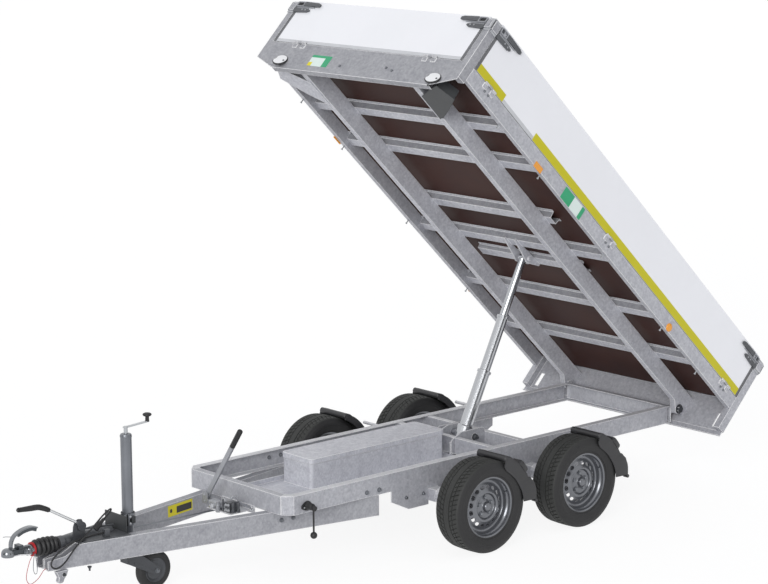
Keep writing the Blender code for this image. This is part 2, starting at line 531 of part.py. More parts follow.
def build_jockey():
    low, high = (ARM_TOP + over for over in CLAMP_OVER)
    ring = pipe((0, JOCKEY_Y, low), (0, JOCKEY_Y, high), JOCKEY_TUBE_R + 0.007, 0.007 - GAP, 24)
    y0, y1 = CLAMP_PLATE_Y
    plate = prism(((-arm_inner(y0) + GAP * 2, y0), (arm_inner(y0) - GAP * 2, y0),
                   (arm_inner(y0) - GAP * 2, y1), (-arm_inner(y0) + GAP * 2, y1)), "Z", low - 0.085, high + 0.008)
    web = block((-0.004, y1 - 0.001, low + 0.005), (0.004, JOCKEY_Y - JOCKEY_TUBE_R - 0.003, high - 0.005))
    ears = block((JOCKEY_TUBE_R + 0.006, JOCKEY_Y - 0.012, low + 0.015),
                 (JOCKEY_TUBE_R + 0.022, JOCKEY_Y + 0.012, high - 0.014))
    finish_object("jockey_clamp", fused(ring, plate, web, ears), "dark_steel", ROOT, 30)

    outer = rod((0, JOCKEY_Y, JOCKEY_TUBE_BOTTOM), (0, JOCKEY_Y, JOCKEY_TOP), JOCKEY_TUBE_R, 24)
    bore = rod((0, JOCKEY_Y, JOCKEY_TUBE_BOTTOM - 0.01), (0, JOCKEY_Y, JOCKEY_TOP - 0.01), JOCKEY_TUBE_R - 0.003, 24)
    shaft = rod((0, JOCKEY_Y, JOCKEY_TOP - 0.002), (0, JOCKEY_Y, JOCKEY_TOP + 0.043), 0.011, 12)
    arm = rod((0, JOCKEY_Y - 0.010, JOCKEY_TOP + 0.036), (0, JOCKEY_Y + CRANK_REACH, JOCKEY_TOP + 0.046), 0.007, 8)
    knob = turned(((0, 0), (0.008, 0), (0.015, 0.012), (0.015, 0.045), (0, 0.052)),
                  (0, JOCKEY_Y + CRANK_REACH, JOCKEY_TOP + 0.040), (0, 0, 1), 12)
    finish_object("jockey_tube", fused(cut(outer, bore), shaft, arm, knob), "dark_steel", ROOT, 30)

    leg = empty("jockey_leg_slide", (0, JOCKEY_Y, 0), ROOT)
    finish_object("jockey_leg", rod((0, 0, FORK_TOP + GAP), (0, 0, JOCKEY_TOP - 0.06), JOCKEY_TUBE_R - 0.004, 20),
                  "zinc", leg, 30)
    swivel = empty("jockey_swivel", (0, 0, 0), leg)
    cheek = CASTER_W / 2 + RUN
    shapes = [rod((0, 0, FORK_TOP - 0.045), (0, 0, FORK_TOP), 0.031, 20)]
    for side in (1, -1):
        low, high = sorted((side * cheek, side * (cheek + 0.004)))
        outline = (arc((CASTER_TRAIL, CASTER_R), 0.022, -120, 60, 6)
                   + [(0.020, FORK_TOP - 0.006), (-0.026, FORK_TOP - 0.006), (-0.026, FORK_TOP - 0.040)])
        shapes.append(prism(outline, "X", low, high))
    shapes.append(block((-cheek - 0.004, -0.026, FORK_TOP - 0.016), (cheek + 0.004, 0.022, FORK_TOP - 0.006)))
    shapes.append(rod((-cheek - 0.010, CASTER_TRAIL, CASTER_R), (cheek + 0.010, CASTER_TRAIL, CASTER_R), 0.008, 12))
    finish_object("jockey_fork", fused(*shapes), "dark_steel", swivel, 30)
    spin = empty("jockey_wheel_spin", (0, CASTER_TRAIL, CASTER_R), swivel)
    half = CASTER_W / 2
    profile = ((0.0085, -half + 0.004), (0.034, -half + 0.004), (0.062, -half + 0.012), (0.070, -half),
               (CASTER_R - 0.006, -half + 0.006), (CASTER_R, -half + 0.020), (CASTER_R, half - 0.020),
               (CASTER_R - 0.006, half - 0.006), (0.070, half), (0.062, half - 0.012), (0.034, half - 0.004),
               (0.0085, half - 0.004))
    finish_object("jockey_wheel", turned(profile, (0, 0, 0), (1, 0, 0), 20), "rubber", spin, 30)


def rounded_plan(half_x, low_y, high_y, radius, steps=4):
    return (arc((half_x - radius, low_y + radius), radius, -90, 0, steps)
            + arc((half_x - radius, high_y - radius), radius, 0, 90, steps)
            + arc((-half_x + radius, high_y - radius), radius, 90, 180, steps)
            + arc((-half_x + radius, low_y + radius), radius, 180, 270, steps))


def build_pump():
    low = FRAME_UNDER + STEEL + GAP
    reach = FRAME_HALF - STEEL - GAP
    tray_end = HOIST_BAY[0] - EAR_LAP - GAP
    tray = block((TRAY_FAR, FRAME_FRONT + STEEL + GAP, low), (reach - CORNER, tray_end, low + TRAY_T))
    lip = block((TRAY_FAR, FRAME_FRONT + FRAME_FLANGE + 0.01, low), (TRAY_FAR + TRAY_T, tray_end,
                                                                     low + 0.030))
    wing = block((reach - CORNER - 0.001, FRAME_FRONT + CORNER + 0.02, low),
                 (reach, tray_end, low + TRAY_T))
    box = prism(rounded_plan(BOX_X, *BOX_Y, 0.02), "Z", low + TRAY_T / 2, BOX_TOP - 0.004)
    lid = prism(rounded_plan(BOX_X + 0.004, BOX_Y[0] - 0.004, BOX_Y[1] + 0.004, 0.022), "Z", BOX_TOP - 0.030, BOX_TOP)
    finish_object("pump_box", fused(tray, lip, wing, box, lid), "galvanised", ROOT, 30)

    plate = block((-0.120, FRAME_FRONT - GAP - 0.005, FRAME_UNDER - 0.035), (0.170, FRAME_FRONT - GAP, FRAME_UNDER + 0.060))
    shelf = block((-0.060, PUMP_Y - 0.030, PUMP_Z - PUMP_R - 0.006), (0.140, FRAME_FRONT - GAP - 0.001,
                                                                      PUMP_Z - PUMP_R + 0.001))
    barrel = rod((-0.055, PUMP_Y, PUMP_Z), (0.110, PUMP_Y, PUMP_Z), PUMP_R, 16)
    valve = block((0.085, PUMP_Y - 0.028, PUMP_Z - 0.030), (0.135, PUMP_Y + 0.030, PUMP_Z + 0.045))
    piston = rod((-0.050, PUMP_Y, PUMP_Z), (-0.108, PUMP_Y, PUMP_Z), 0.010, 10)
    foot, tip = (Vector((x, PUMP_Y, FRAME_UNDER + over)) for x, over in (LEVER_FOOT, LEVER_TIP))
    along = (tip - foot).normalized()
    socket = rod((-0.112, PUMP_Y, FRAME_UNDER + 0.002), foot + along * 0.02, 0.016, 12)
    lever = rod(foot - along * 0.01, tip, 0.0105, 12)
    grip = rod(tip - along * GRIP_LONG, tip + along * 0.002, 0.0155, 12)
    finish_object("hand_pump", fused(plate, shelf, barrel, valve, piston, socket, lever, grip), "zinc", ROOT, 30)


def build_side_crank():
    face = FRAME_HALF + GAP
    boss = turned(((0, 0), (0.026, 0), (0.026, 0.012), (0.019, 0.022), (0.016, 0.05), (0, 0.05)),
                  (face, CRANK_Y, CRANK_Z), (1, 0, 0), 16)
    arm = rod((face + 0.04, CRANK_Y, CRANK_Z), (CRANK_OUT, CRANK_Y, CRANK_Z - 0.006), 0.014, 12)
    stem_x, ball_z = CRANK_OUT - 0.016, CRANK_Z - CRANK_DROP
    stem = rod((stem_x, CRANK_Y, CRANK_Z), (stem_x, CRANK_Y, ball_z), 0.0055, 8)
    ball = turned(tuple((CRANK_BALL_R * math.sin(a), CRANK_BALL_R - CRANK_BALL_R * math.cos(a))
                        for a in (math.pi * k / 8 for k in range(9))),
                  (stem_x, CRANK_Y, ball_z - CRANK_BALL_R), (0, 0, 1), 14)
    finish_object("side_crank", fused(boss, arm, stem, ball), "plastic", ROOT, 30)


def build_brake_rod():
    front = CLAMP_PLATE_Y[1] + GAP
    rear = -SWING_BACK - AXLE_TUBE / 2 - GAP
    finish_object("brake_rod", bent_rod(((ROD_X, front, FRAME_UNDER - ROD_DROP[0]),
                                         (ROD_X, front + 0.25, FRAME_UNDER - ROD_DROP[1]),
                                         (ROD_X, rear, HUB_Z + SWING_UP)), ROD_R, 8), "zinc", ROOT, 30)


def smooth_line(points, step):
    """Points about a step apart along a smooth curve through the given ones."""
    points = [Vector(point) for point in points]
    ends = [2 * points[0] - points[1], *points, 2 * points[-1] - points[-2]]
    line = []
    for a, b, c, d in zip(ends, ends[1:], ends[2:], ends[3:]):
        count = max(2, round((c - b).length / step))
        for i in range(count):
            t = i / count
            line.append(0.5 * (2 * b + (c - a) * t + (2 * a - 5 * b + 4 * c - d) * t * t
                               + (3 * b - a - 3 * c + d) * t ** 3))
    return line + [points[-1]]


def cord(name, points, radius, finish, step, resolution=2):
    curve = bpy.data.curves.new(name, "CURVE")
    curve.dimensions = "3D"
    curve.bevel_depth, curve.bevel_resolution, curve.use_fill_caps = radius, resolution, True
    spline = curve.splines.new("POLY")
    line = smooth_line(points, step)
    spline.points.add(len(line) - 1)
    for point, place in zip(spline.points, line):
        point.co = (*place, 1)
    curve.materials.append(MATERIALS[finish])
    made = bpy.data.objects.new(name, curve)
    made.parent = ROOT
    bpy.context.collection.objects.link(made)
    return made


def bed_profile(points):
    """Outline points of (s, n) as the (y, z) of the bed's own frame."""
    return [(-s, n) for s, n in points]


def build_beams():
    front = BED_FRONT - END_PLATE - GAP
    rear = BED_REAR + 0.014 + GAP
    for name, side in SIDES:
        low, high = sorted((side * BEAM_X, side * (BEAM_X + BEAM_WIDE)))
        outline = ([(front, BEAM_UNDER), (front, BEAM_TOP), (rear, BEAM_TOP), (rear, 0.0)]
                   + arc((0, 0), 0.032, 200, 320, 6) + [(0.075, BEAM_UNDER)])
        solid = prism(bed_profile(outline), "X", low, high)
        core = block((low + BEAM_WALL, -front - 0.01, BEAM_UNDER + BEAM_WALL),
                     (high - BEAM_WALL, -rear + 0.01, BEAM_TOP - BEAM_WALL))
        bolt = rod((side * (FRAME_HALF - LUG_T - 0.006), 0, 0), (side * (BEAM_X + BEAM_WIDE + 0.010), 0, 0), PIVOT_BOLT_R, 24)
        head = rod((side * (BEAM_X + BEAM_WIDE - 0.001), 0, 0), (side * (BEAM_X + BEAM_WIDE + 0.014), 0, 0),
                   0.021, 6)
        finish_object("bed_beam_" + name, fused(cut(solid, core), bolt, head), "galvanised", PIVOT, 30)


def hat(middle, tall, reach, under):
    half, foot, t = CROSS_WIDE / 2, CROSS_FLANGE, CROSS_STEEL
    top = under + tall
    outline = [(-half, top), (-half, top - t), (-half + foot, top - t), (-half + foot + 0.006, under),
               (half - foot - 0.006, under), (half - foot, top - t), (half, top - t), (half, top),
               (half - foot - t, top), (half - foot - 0.006 - t, under + t), (-half + foot + 0.006 + t, under + t),
               (-half + foot + t, top)]
    return prism([(-middle + s, n) for s, n in outline], "X", -reach, reach)


def build_crosses():
    under = BEAM_TOP + GAP
    reach = BED_HALF - RAIL_WIDE - GAP
    short = BEAM_X + BEAM_WIDE + SHORT_REACH
    for name, middle, full in CROSSES:
        shape = hat(middle, CROSS_TALL, reach if full else short, under)
        if name == "hoist":
            second = hat(SHORT_CROSS_S, SHORT_CROSS_TALL, BEAM_X - 0.01, under + CROSS_TALL - SHORT_CROSS_TALL)
            ears = []
            for side in (1, -1):
                low, high = sorted((side * EYE_EAR_X, side * (EYE_EAR_X + EYE_EAR_T)))
                outline = ([(1.470, under + 0.001), (1.200, under + CROSS_TALL - SHORT_CROSS_TALL + 0.001),
                            (1.200, 0.118)] + arc((EYE_S, EYE_N), 0.030, 235, 305, 4) + [(1.470, 0.105)])
                ears.append(prism(bed_profile(outline), "X", low, high))
                ears.append(rod((side * (EYE_EAR_X + EYE_EAR_T - 0.001), -EYE_S, EYE_N),
                                (side * (EYE_EAR_X + EYE_EAR_T + 0.008), -EYE_S, EYE_N), 0.014, 12))
            shape = fused(shape, second, *ears)
        finish_object("cross_" + name, shape, "galvanised", PIVOT, 30)


def side_knuckles(side, middle, which):
    """Hinge barrels of one side hinge: the outer two belong to the rail, the middle one to the board."""
    x = side * (BED_HALF + HINGE_OUT)
    ends = {"rail": (-1, 1), "board": (0,)}[which]
    shapes = []
    for end in ends:
        s = middle + end * KNUCKLE_LONG
        half = (KNUCKLE_LONG - GAP) / 2
        shapes.append(rod((x, -s - half, HINGE_N), (x, -s + half, HINGE_N), KNUCKLE_R, 8))
        if which == "rail":
            low, high = RAIL_TOP - 0.030, HINGE_N
        else:
            low, high = HINGE_N, BOARD_UNDER + HINGE_LEAF
        x0, x1 = sorted((side * (BED_HALF - 0.001), side * (BED_HALF + HINGE_OUT - 0.003)))
        shapes.append(block((x0, -s - half, low), (x1, -s + half, high)))
    return shapes


def end_knuckles(front, x, which):
    """Hinge barrels of the front board or the tailgate."""
    y = -(BED_FRONT + HINGE_OUT) if front else -(BED_REAR - HINGE_OUT)
    out = -1 if front else 1
    ends = {"frame": (-1, 1), "board": (0,)}[which]
    shapes = []
    for end in ends:
        middle = x + end * KNUCKLE_LONG
        half = (KNUCKLE_LONG - GAP) / 2
        shapes.append(rod((middle - half, y, HINGE_N), (middle + half, y, HINGE_N), KNUCKLE_R, 8))
        low, high = (RAIL_TOP - 0.030, HINGE_N) if which == "frame" else (HINGE_N, BOARD_UNDER + HINGE_LEAF)
        y0, y1 = sorted((y - out * 0.003, y - out * (HINGE_OUT + 0.001)))
        shapes.append(block((middle - half, y0, low), (middle + half, y1, high)))
    return shapes


def build_rails_and_floor():
    low_s, high_s = BED_REAR + POST_LONG + GAP, BED_FRONT - POST_LONG - GAP
    for name, side in SIDES:
        outer, inner = side * BED_HALF, side * (BED_HALF - RAIL_WIDE)
        x0, x1 = sorted((outer, inner))
        tube = block((x0, -high_s, RAIL_UNDER), (x1, -low_s, RAIL_TOP))
        core = block((x0 + RAIL_WALL, -high_s - 0.01, RAIL_UNDER + RAIL_WALL),
                     (x1 - RAIL_WALL, -low_s + 0.01, RAIL_TOP - RAIL_WALL))
        knuckles = [shape for s in HINGE_S for shape in side_knuckles(side, s, "rail")]
        finish_object("side_rail_" + name, fused(cut(tube, core), *knuckles), "galvanised", PIVOT, 30)
    half = BED_HALF - RAIL_WIDE - GAP
    notch = BED_HALF - POST_WIDE - GAP
    rear, front = BED_REAR + BOARD_T + BOARD_PLAY, BED_FRONT - BOARD_T - BOARD_PLAY
    right = [(notch, -rear), (notch, -low_s), (half, -low_s), (half, -high_s), (notch, -high_s), (notch, -front)]
    plan = right + [(-x, y) for x, y in reversed(right)]
    finish_object("floor", prism(plan, "Z", FLOOR_UNDER, FLOOR_TOP), "ply", PIVOT)


def keepers(side, s_end):
    """The latch keepers on a corner post, one on each of its outer faces."""
    low, high = BOARD_TOP - LATCH_DROP[0], BOARD_TOP - LATCH_DROP[1] + 0.012
    front = s_end > 0
    near, far = (s_end - POST_LONG, s_end) if front else (s_end, s_end + POST_LONG)
    out = 1 if front else -1
    x0, x1 = sorted((side * (BED_HALF - 0.001), side * (BED_HALF + KEEPER_T)))
    y0, y1 = sorted((-(s_end - out * 0.001), -(s_end + out * KEEPER_T)))
    z0, z1 = sorted((side * (BED_HALF - POST_WIDE + 0.004), side * (BED_HALF - 0.004)))
    return [block((x0, -far + 0.004, low), (x1, -near - 0.004, high)), block((z0, y0, low), (z1, y1, high))]


def lever(along, out, low, axis_x):
    """A latch lever: along and out give its start, end and two depths; it thins towards its free end."""
    (start, end), (face, proud) = along, out
    high = low + LATCH_DROP[0] - LATCH_DROP[1]
    outline = ((start, low - 0.010), (start, high + 0.004), (end, high - 0.008), (end, low + 0.008),
               (start + (end - start) * 0.3, low - 0.010))
    y0, y1 = sorted((face, proud))
    return prism(outline, "Y", y0, y1) if axis_x else prism(outline, "X", y0, y1)


def build_end_frames():
    s0, s1 = BED_FRONT - END_PLATE, BED_FRONT
    inner = BED_HALF - POST_WIDE
    outline = [(-BED_HALF, RAIL_TOP), (-BED_HALF, 0.045), (-FRONT_PLATE_EDGE, FRONT_PLATE_UNDER),
               (FRONT_PLATE_EDGE, FRONT_PLATE_UNDER), (BED_HALF, 0.045), (BED_HALF, RAIL_TOP)]
    shapes = [prism(outline, "Y", -s1, -s0)]
    shapes.append(block((-FRONT_PLATE_EDGE, -s0 - 0.001, FRONT_PLATE_UNDER),
                        (FRONT_PLATE_EDGE, -s0 + 0.034, FRONT_PLATE_UNDER + END_PLATE)))
    for side in (1, -1):
        x0, x1 = sorted((side * BED_HALF, side * inner))
        shapes.append(block((x0, -s1, 0.060), (x1, -s1 + POST_LONG, BOARD_TOP - 0.010)))
        shapes += end_knuckles(True, side * END_HINGE_X, "frame")
        shapes += keepers(side, BED_FRONT)
    finish_object("front_frame", fused(*shapes), "galvanised", PIVOT, 30)

    s0 = BED_REAR + 0.010
    plate = block((-BED_HALF, -s0 - END_PLATE, REAR_PLATE_UNDER), (BED_HALF, -s0, RAIL_TOP))
    slots = [block((min(side * SLOT_X[0], side * SLOT_X[1]), -s0 - 0.02, SLOT_N[0]),
                   (max(side * SLOT_X[0], side * SLOT_X[1]), -s0 + 0.02, SLOT_N[1])) for side in (1, -1)]
    shapes = [cut(plate, *slots)]
    shapes.append(block((-BED_HALF, -s0 - 0.001, REAR_PLATE_UNDER), (BED_HALF, -BED_REAR, REAR_PLATE_UNDER + 0.012)))
    for side in (1, -1):
        x0, x1 = sorted((side * BED_HALF, side * inner))
        shapes.append(block((x0, -BED_REAR - POST_LONG, REAR_PLATE_UNDER), (x1, -BED_REAR, BOARD_TOP - 0.010)))
        shapes += end_knuckles(False, side * END_HINGE_X, "frame")
        shapes += keepers(side, BED_REAR)
    shapes.append(block((-inner, -s0 - 0.001, RAIL_TOP - 0.030), (inner, -BED_REAR, RAIL_TOP)))
    finish_object("rear_frame", fused(*shapes), "galvanised", PIVOT, 30)


def build_boards():
    low_s, high_s = BED_REAR + POST_LONG + BOARD_PLAY, BED_FRONT - POST_LONG - BOARD_PLAY
    latch_n = BOARD_TOP - LATCH_DROP[0]
    for name, side in SIDES:
        hinge = empty(name + "_board_hinge", (side * (BED_HALF + HINGE_OUT), 0, HINGE_N), PIVOT)
        x0, x1 = sorted((side * (BED_HALF - BOARD_T), side * BED_HALF))
        board = block((x0, -high_s, BOARD_UNDER), (x1, -low_s, BOARD_TOP))
        knuckles = [shape for s in HINGE_S for shape in side_knuckles(side, s, "board")]
        out = (side * (BED_HALF - 0.001), side * (BED_HALF + LATCH_T))
        levers = [lever((-s + way * 0.002, -s + way * LATCH_LONG), out, latch_n, False)
                  for s, way in ((high_s, 1), (low_s, -1))]
        shape = fused(board, *levers, *knuckles)
        bmesh.ops.translate(shape, vec=(-side * (BED_HALF + HINGE_OUT), 0, -HINGE_N), verts=shape.verts)
        finish_object("side_board_" + name, shape, "board", hinge)
    half = BED_HALF - POST_WIDE - BOARD_PLAY
    for name, front in (("front_board", True), ("tailgate", False)):
        s0, s1 = (BED_FRONT - BOARD_T, BED_FRONT) if front else (BED_REAR, BED_REAR + BOARD_T)
        y = -(BED_FRONT + HINGE_OUT) if front else -(BED_REAR - HINGE_OUT)
        hinge = empty(name + "_hinge", (0, y, HINGE_N), PIVOT)
        board = block((-half, -s1, BOARD_UNDER), (half, -s0, BOARD_TOP))
        knuckles = [shape for side in (1, -1) for shape in end_knuckles(front, side * END_HINGE_X, "board")]
        way = -1 if front else 1
        face = -BED_FRONT if front else -BED_REAR
        levers = [lever((side * (half - 0.002), side * (half - LATCH_LONG)), (face - way * 0.001, face + way * LATCH_T),
                        latch_n, True) for side in (1, -1)]
        shape = fused(board, *levers, *knuckles)
        bmesh.ops.translate(shape, vec=(0, -y, -HINGE_N), verts=shape.verts)
        finish_object(name, shape, "board", hinge)


# Moulded guard under the front of each beam: its plan as (out from the beam's inner face, back from the bed's front)
GUARD_PLAN = ((0.0175, 0.154), (0.1425, 0.079), (0.2195, 0.041), (0.2785, 0.147), (0.1425, 0.266), (0.0165, 0.350))
GUARD_T, GUARD_TALL, GUARD_IN = 0.004, 0.058, 0.008


def build_beam_guards():
    top = BEAM_UNDER - GAP
    for name, side in SIDES:
        plan = [(side * (BEAM_X + out), -(BED_FRONT - back)) for out, back in GUARD_PLAN]
        plate = prism(plan, "Z", top - GUARD_T, top)
        inner = BEAM_X + BEAM_WIDE + GAP
        middle = (sum(x for x, y in plan) / len(plan), sum(y for x, y in plan) / len(plan))
        rise = []
        for x, y in plan:
            away = math.hypot(middle[0] - x, middle[1] - y)
            x, y = x + (middle[0] - x) * GUARD_IN / away, y + (middle[1] - y) * GUARD_IN / away
            rise.append((side * max(abs(x), inner), y))
        body = prism(rise, "Z", top - GUARD_T / 2, top + GUARD_TALL)
        finish_object("beam_guard_" + name, fused(plate, body), "plastic", PIVOT)


def bed_world(s, n, tilt):
    """World (y, z) of a bed point with the bed raised by tilt."""
    return (PIVOT_Y - s * math.cos(tilt) + n * math.sin(tilt), PIVOT_Z + s * math.sin(tilt) + n * math.cos(tilt))


def build_hoist():
    eye_up, eye_down = bed_world(EYE_S, EYE_N, TILT), bed_world(EYE_S, EYE_N, 0)
    up = (eye_up[0] - TRUNNION_Y, eye_up[1] - TRUNNION_Z)
    down = (eye_down[0] - TRUNNION_Y, eye_down[1] - TRUNNION_Z)
    long, short = math.hypot(*up), math.hypot(*down)
    lean = math.atan2(up[1], up[0])
    stroke = (long - short) / 3
    pivot = empty("hoist_pivot", (0, TRUNNION_Y, TRUNNION_Z), ROOT, (lean - math.pi / 2, 0, 0))
    mouth = STAGE_R[0] + 0.001
    barrel = turned(((0, -BARREL_BELOW), (BARREL_R - 0.006, -BARREL_BELOW), (BARREL_R, -BARREL_BELOW + 0.006),
                     (BARREL_R, BARREL_ABOVE - 0.006), (BARREL_R - 0.003, BARREL_ABOVE), (mouth, BARREL_ABOVE),
                     (mouth, -BARREL_BELOW + 0.015), (0, -BARREL_BELOW + 0.015)), (0, 0, 0), (0, 0, 1), 20)
    pins = [rod((side * (BARREL_R - 0.003), 0, 0), (side * (EAR_X + EAR_T + 0.004), 0, 0), TRUNNION_R, 20)
            for side in (1, -1)]
    finish_object("hoist_barrel", fused(barrel, *pins), "chrome", pivot, 30)
    parent = pivot
    for i, radius in enumerate(STAGE_R):
        closed_top = BARREL_ABOVE + (i + 1) * COLLAR
        parent = empty("hoist_slide_%d" % (i + 1), (0, 0, stroke), parent)
        foot = -BARREL_BELOW + 0.020 + 0.006 * i
        last = i == len(STAGE_R) - 1
        if last:
            shape = rod((0, 0, foot), (0, 0, short - EYE_R * 0.5), radius, 24)
            eye = rod((-radius, 0, short), (radius, 0, short), EYE_R, 20)
            bore = rod((-radius - 0.01, 0, short), (radius + 0.01, 0, short), 0.0115, 16)
            shape = cut(fused(shape, eye), bore)
        else:
            bore = STAGE_R[i + 1] + 0.001
            ring = radius + 0.005
            shape = turned(((radius, foot), (radius, closed_top - COLLAR + GAP), (ring, closed_top - COLLAR + GAP),
                            (ring, closed_top - 0.002), (ring - 0.002, closed_top - GAP), (bore, closed_top - GAP),
                            (bore, foot)), (0, 0, 0), (0, 0, 1), 20)
        finish_object("hoist_stage_%d" % (i + 1), shape, "chrome", parent, 30)


def build_wheels():
    for axle, axle_y in (("front", 0), ("rear", AXLE_GAP)):
        for name, side in SIDES:
            hub = empty("wheel_%s_%s" % (axle, name), (side * TRACK / 2, axle_y, HUB_Z), ROOT)
            half = TYRE_W / 2
            seat, lip, widest = RIM_R + GAP, RIM_FLANGE + 0.002, TYRE_R - TYRE_WIDEST
            tyre = ((seat, -half + 0.028), (lip, -half + 0.018), (widest, -half), (TYRE_R, -half + 0.030),
                    (TYRE_R, half - 0.030), (widest, half), (lip, half - 0.018), (seat, half - 0.028))
            finish_object("tyre_%s_%s" % (axle, name), turned(tyre, (0, 0, 0), (side, 0, 0), WHEEL_SIDES), "rubber", hub, 25)
            finish_object("rim_%s_%s" % (axle, name), rim_shape(side), "wheel", hub, 30)


def rim_shape(side):
    """Pressed disc wheel: barrel with a drop well, dished disc with its vents, hub cap."""
    flange = TYRE_W / 2 - 0.0186
    well, bead = RIM_R - 0.014, RIM_R - RIM_WALL
    face = [(share * RIM_R, out) for share, out in RIM_FACE] + [(bead, 0.054), (bead, flange)]
    outer = [(RIM_FLANGE, flange), (RIM_R, flange - 0.006), (RIM_R, 0.046), (well, 0.022), (well, -0.010),
             (RIM_R, -0.034), (RIM_R, -flange + 0.006), (RIM_FLANGE, -flange)]
    back = [(bead, -flange), (bead, -0.036), (well - 2 * RIM_WALL, 0.012)] + [(share * RIM_R, out) for share, out in RIM_BACK]
    disc = turned(face + outer + back, (0, 0, 0), (side, 0, 0), WHEEL_SIDES)
    vents = []
    for i in range(VENTS):
        turn = Matrix.Rotation(2 * math.pi * (i + 0.5) / VENTS, 4, "X")
        vent = loft([[(x, VENT_LONG / 2 * math.cos(a), VENT_SHARE * RIM_R + VENT_WIDE / 2 * math.sin(a))
                      for a in (2 * math.pi * k / 6 for k in range(6))] for x in (0.005 * side, 0.09 * side)])
        bmesh.ops.transform(vent, matrix=turn, verts=vent.verts)
        vents.append(vent)
    return cut(disc, *vents)


# Cords, their points' heights over the top of the drawbar's arms
LEAD_R, PLUG_R, GLAND_HALF = 0.0045, 0.016, 0.012
# Out of its gland, forward along the arm, hanging ahead of it, up to the loop that ends in the plug
LEAD = ((0.075, -2.115, 0.0263), (0.075, -2.16, 0.0263), (0.074, -2.23, 0.0223), (0.078, -2.31, 0.0143),
        (0.082, -2.385, -0.0117), (0.082, -2.44, -0.0517), (0.088, -2.452, -0.0817), (0.094, -2.425, -0.0977),
        (0.094, -2.375, -0.0777), (0.092, -2.3, -0.0077), (0.088, -2.2, 0.0653), (0.078, -2.115, 0.1223),
        (0.07, -2.065, 0.1423), (0.06, -2.06, 0.1243), (0.056, -2.095, 0.0943))
BREAK_R = 0.0016
BREAK = ((0.0308, -2.52, -0.0057), (0.035, -2.52, -0.0057), (0.0395, -2.52, -0.0057), (0.054, -2.56, -0.0397),
         (0.056, -2.585, -0.1197), (0.05, -2.56, -0.1617), (0.04, -2.505, -0.1477), (0.032, -2.465, -0.1147),
         (0.032, -2.45, -0.1077))


def build_cords():
    lead, pull = ([(x, y, ARM_TOP + over) for x, y, over in points] for points in (LEAD, BREAK))
    cord("lead", lead, LEAD_R, "plastic", 0.040)
    end = Vector(lead[-1])
    way = (end - Vector(lead[-2])).normalized()
    start = end + way * GAP
    finish_object("lead_plug", turned(((0, 0), (0.008, 0), (0.011, 0.03), (PLUG_R, 0.034), (PLUG_R, 0.075),
                                       (0, 0.075)), start, way, 14), "plastic", ROOT, 30)
    cord("breakaway_cable", pull, BREAK_R, "cable_red", 0.024)


def centre_on_floor():
    """Moves the whole model so that its box stands centred on the origin."""
    bpy.context.view_layer.update()
    graph = bpy.context.evaluated_depsgraph_get()
    ys = []
    for made in bpy.data.objects:
        if made.type in {"MESH", "CURVE"}:
            seen = made.evaluated_get(graph)
            mesh = seen.to_mesh()
            ys += [(made.matrix_world @ vertex.co).y for vertex in mesh.vertices]
            seen.to_mesh_clear()
    ROOT.location.y = -(min(ys) + max(ys)) / 2
    print("front axle at y", round(ROOT.location.y, 6))


def build_all():
    build_frame()
    build_hoist_mount()
    build_axles()
    build_fenders()
    build_drawbar()
    build_overrun()
    build_jockey()
    build_pump()
    build_side_crank()
    build_brake_rod()
    build_beams()
    build_crosses()
    build_rails_and_floor()
    build_end_frames()
    build_boards()
    build_beam_guards()
    build_hoist()
    build_wheels()
    build_cords()
    centre_on_floor()


build_all()
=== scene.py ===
# Tipping trailer, bed raised: finishes, small parts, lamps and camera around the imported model.
# Metres, nose to -Y.
import math
import bmesh
import bpy
from mathutils import Matrix, Vector


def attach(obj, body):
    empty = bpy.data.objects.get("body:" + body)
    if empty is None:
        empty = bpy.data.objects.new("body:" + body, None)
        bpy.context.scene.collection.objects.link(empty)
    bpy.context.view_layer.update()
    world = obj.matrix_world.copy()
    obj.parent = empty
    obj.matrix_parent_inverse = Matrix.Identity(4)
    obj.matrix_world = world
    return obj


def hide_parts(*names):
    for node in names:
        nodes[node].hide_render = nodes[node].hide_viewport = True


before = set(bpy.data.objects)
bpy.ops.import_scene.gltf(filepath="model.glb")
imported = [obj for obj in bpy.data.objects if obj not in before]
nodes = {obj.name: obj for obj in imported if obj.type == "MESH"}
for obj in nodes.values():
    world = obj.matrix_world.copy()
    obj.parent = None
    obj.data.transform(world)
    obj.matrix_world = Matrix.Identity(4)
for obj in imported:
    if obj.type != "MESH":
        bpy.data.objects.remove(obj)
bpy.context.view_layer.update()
axleY = 0.217863  # the front axle in the frame; places on the chassis are given from it
sides = (("left", 1), ("right", -1))
print("loaded", len(nodes), "nodes")

bed = {"pivot": (0, 2.092863, 0.46), "tilt": math.radians(44.4), "front": 3.11, "rear": -0.07, "half": 0.83}
bedMatrix = Matrix.Translation(bed["pivot"]) @ Matrix.Rotation(-bed["tilt"], 4, "X")


def onBed(x, s, n):  # a place on the bed: s runs forward from its pivot, n up from it
    return bedMatrix @ Vector((x, -s, n))


def onChassis(x, y, z):
    return Vector((x, y + axleY, z))


def placed(name, data):  # a new object in the scene
    thing = bpy.data.objects.new(name, data)
    bpy.context.scene.collection.objects.link(thing)
    return thing


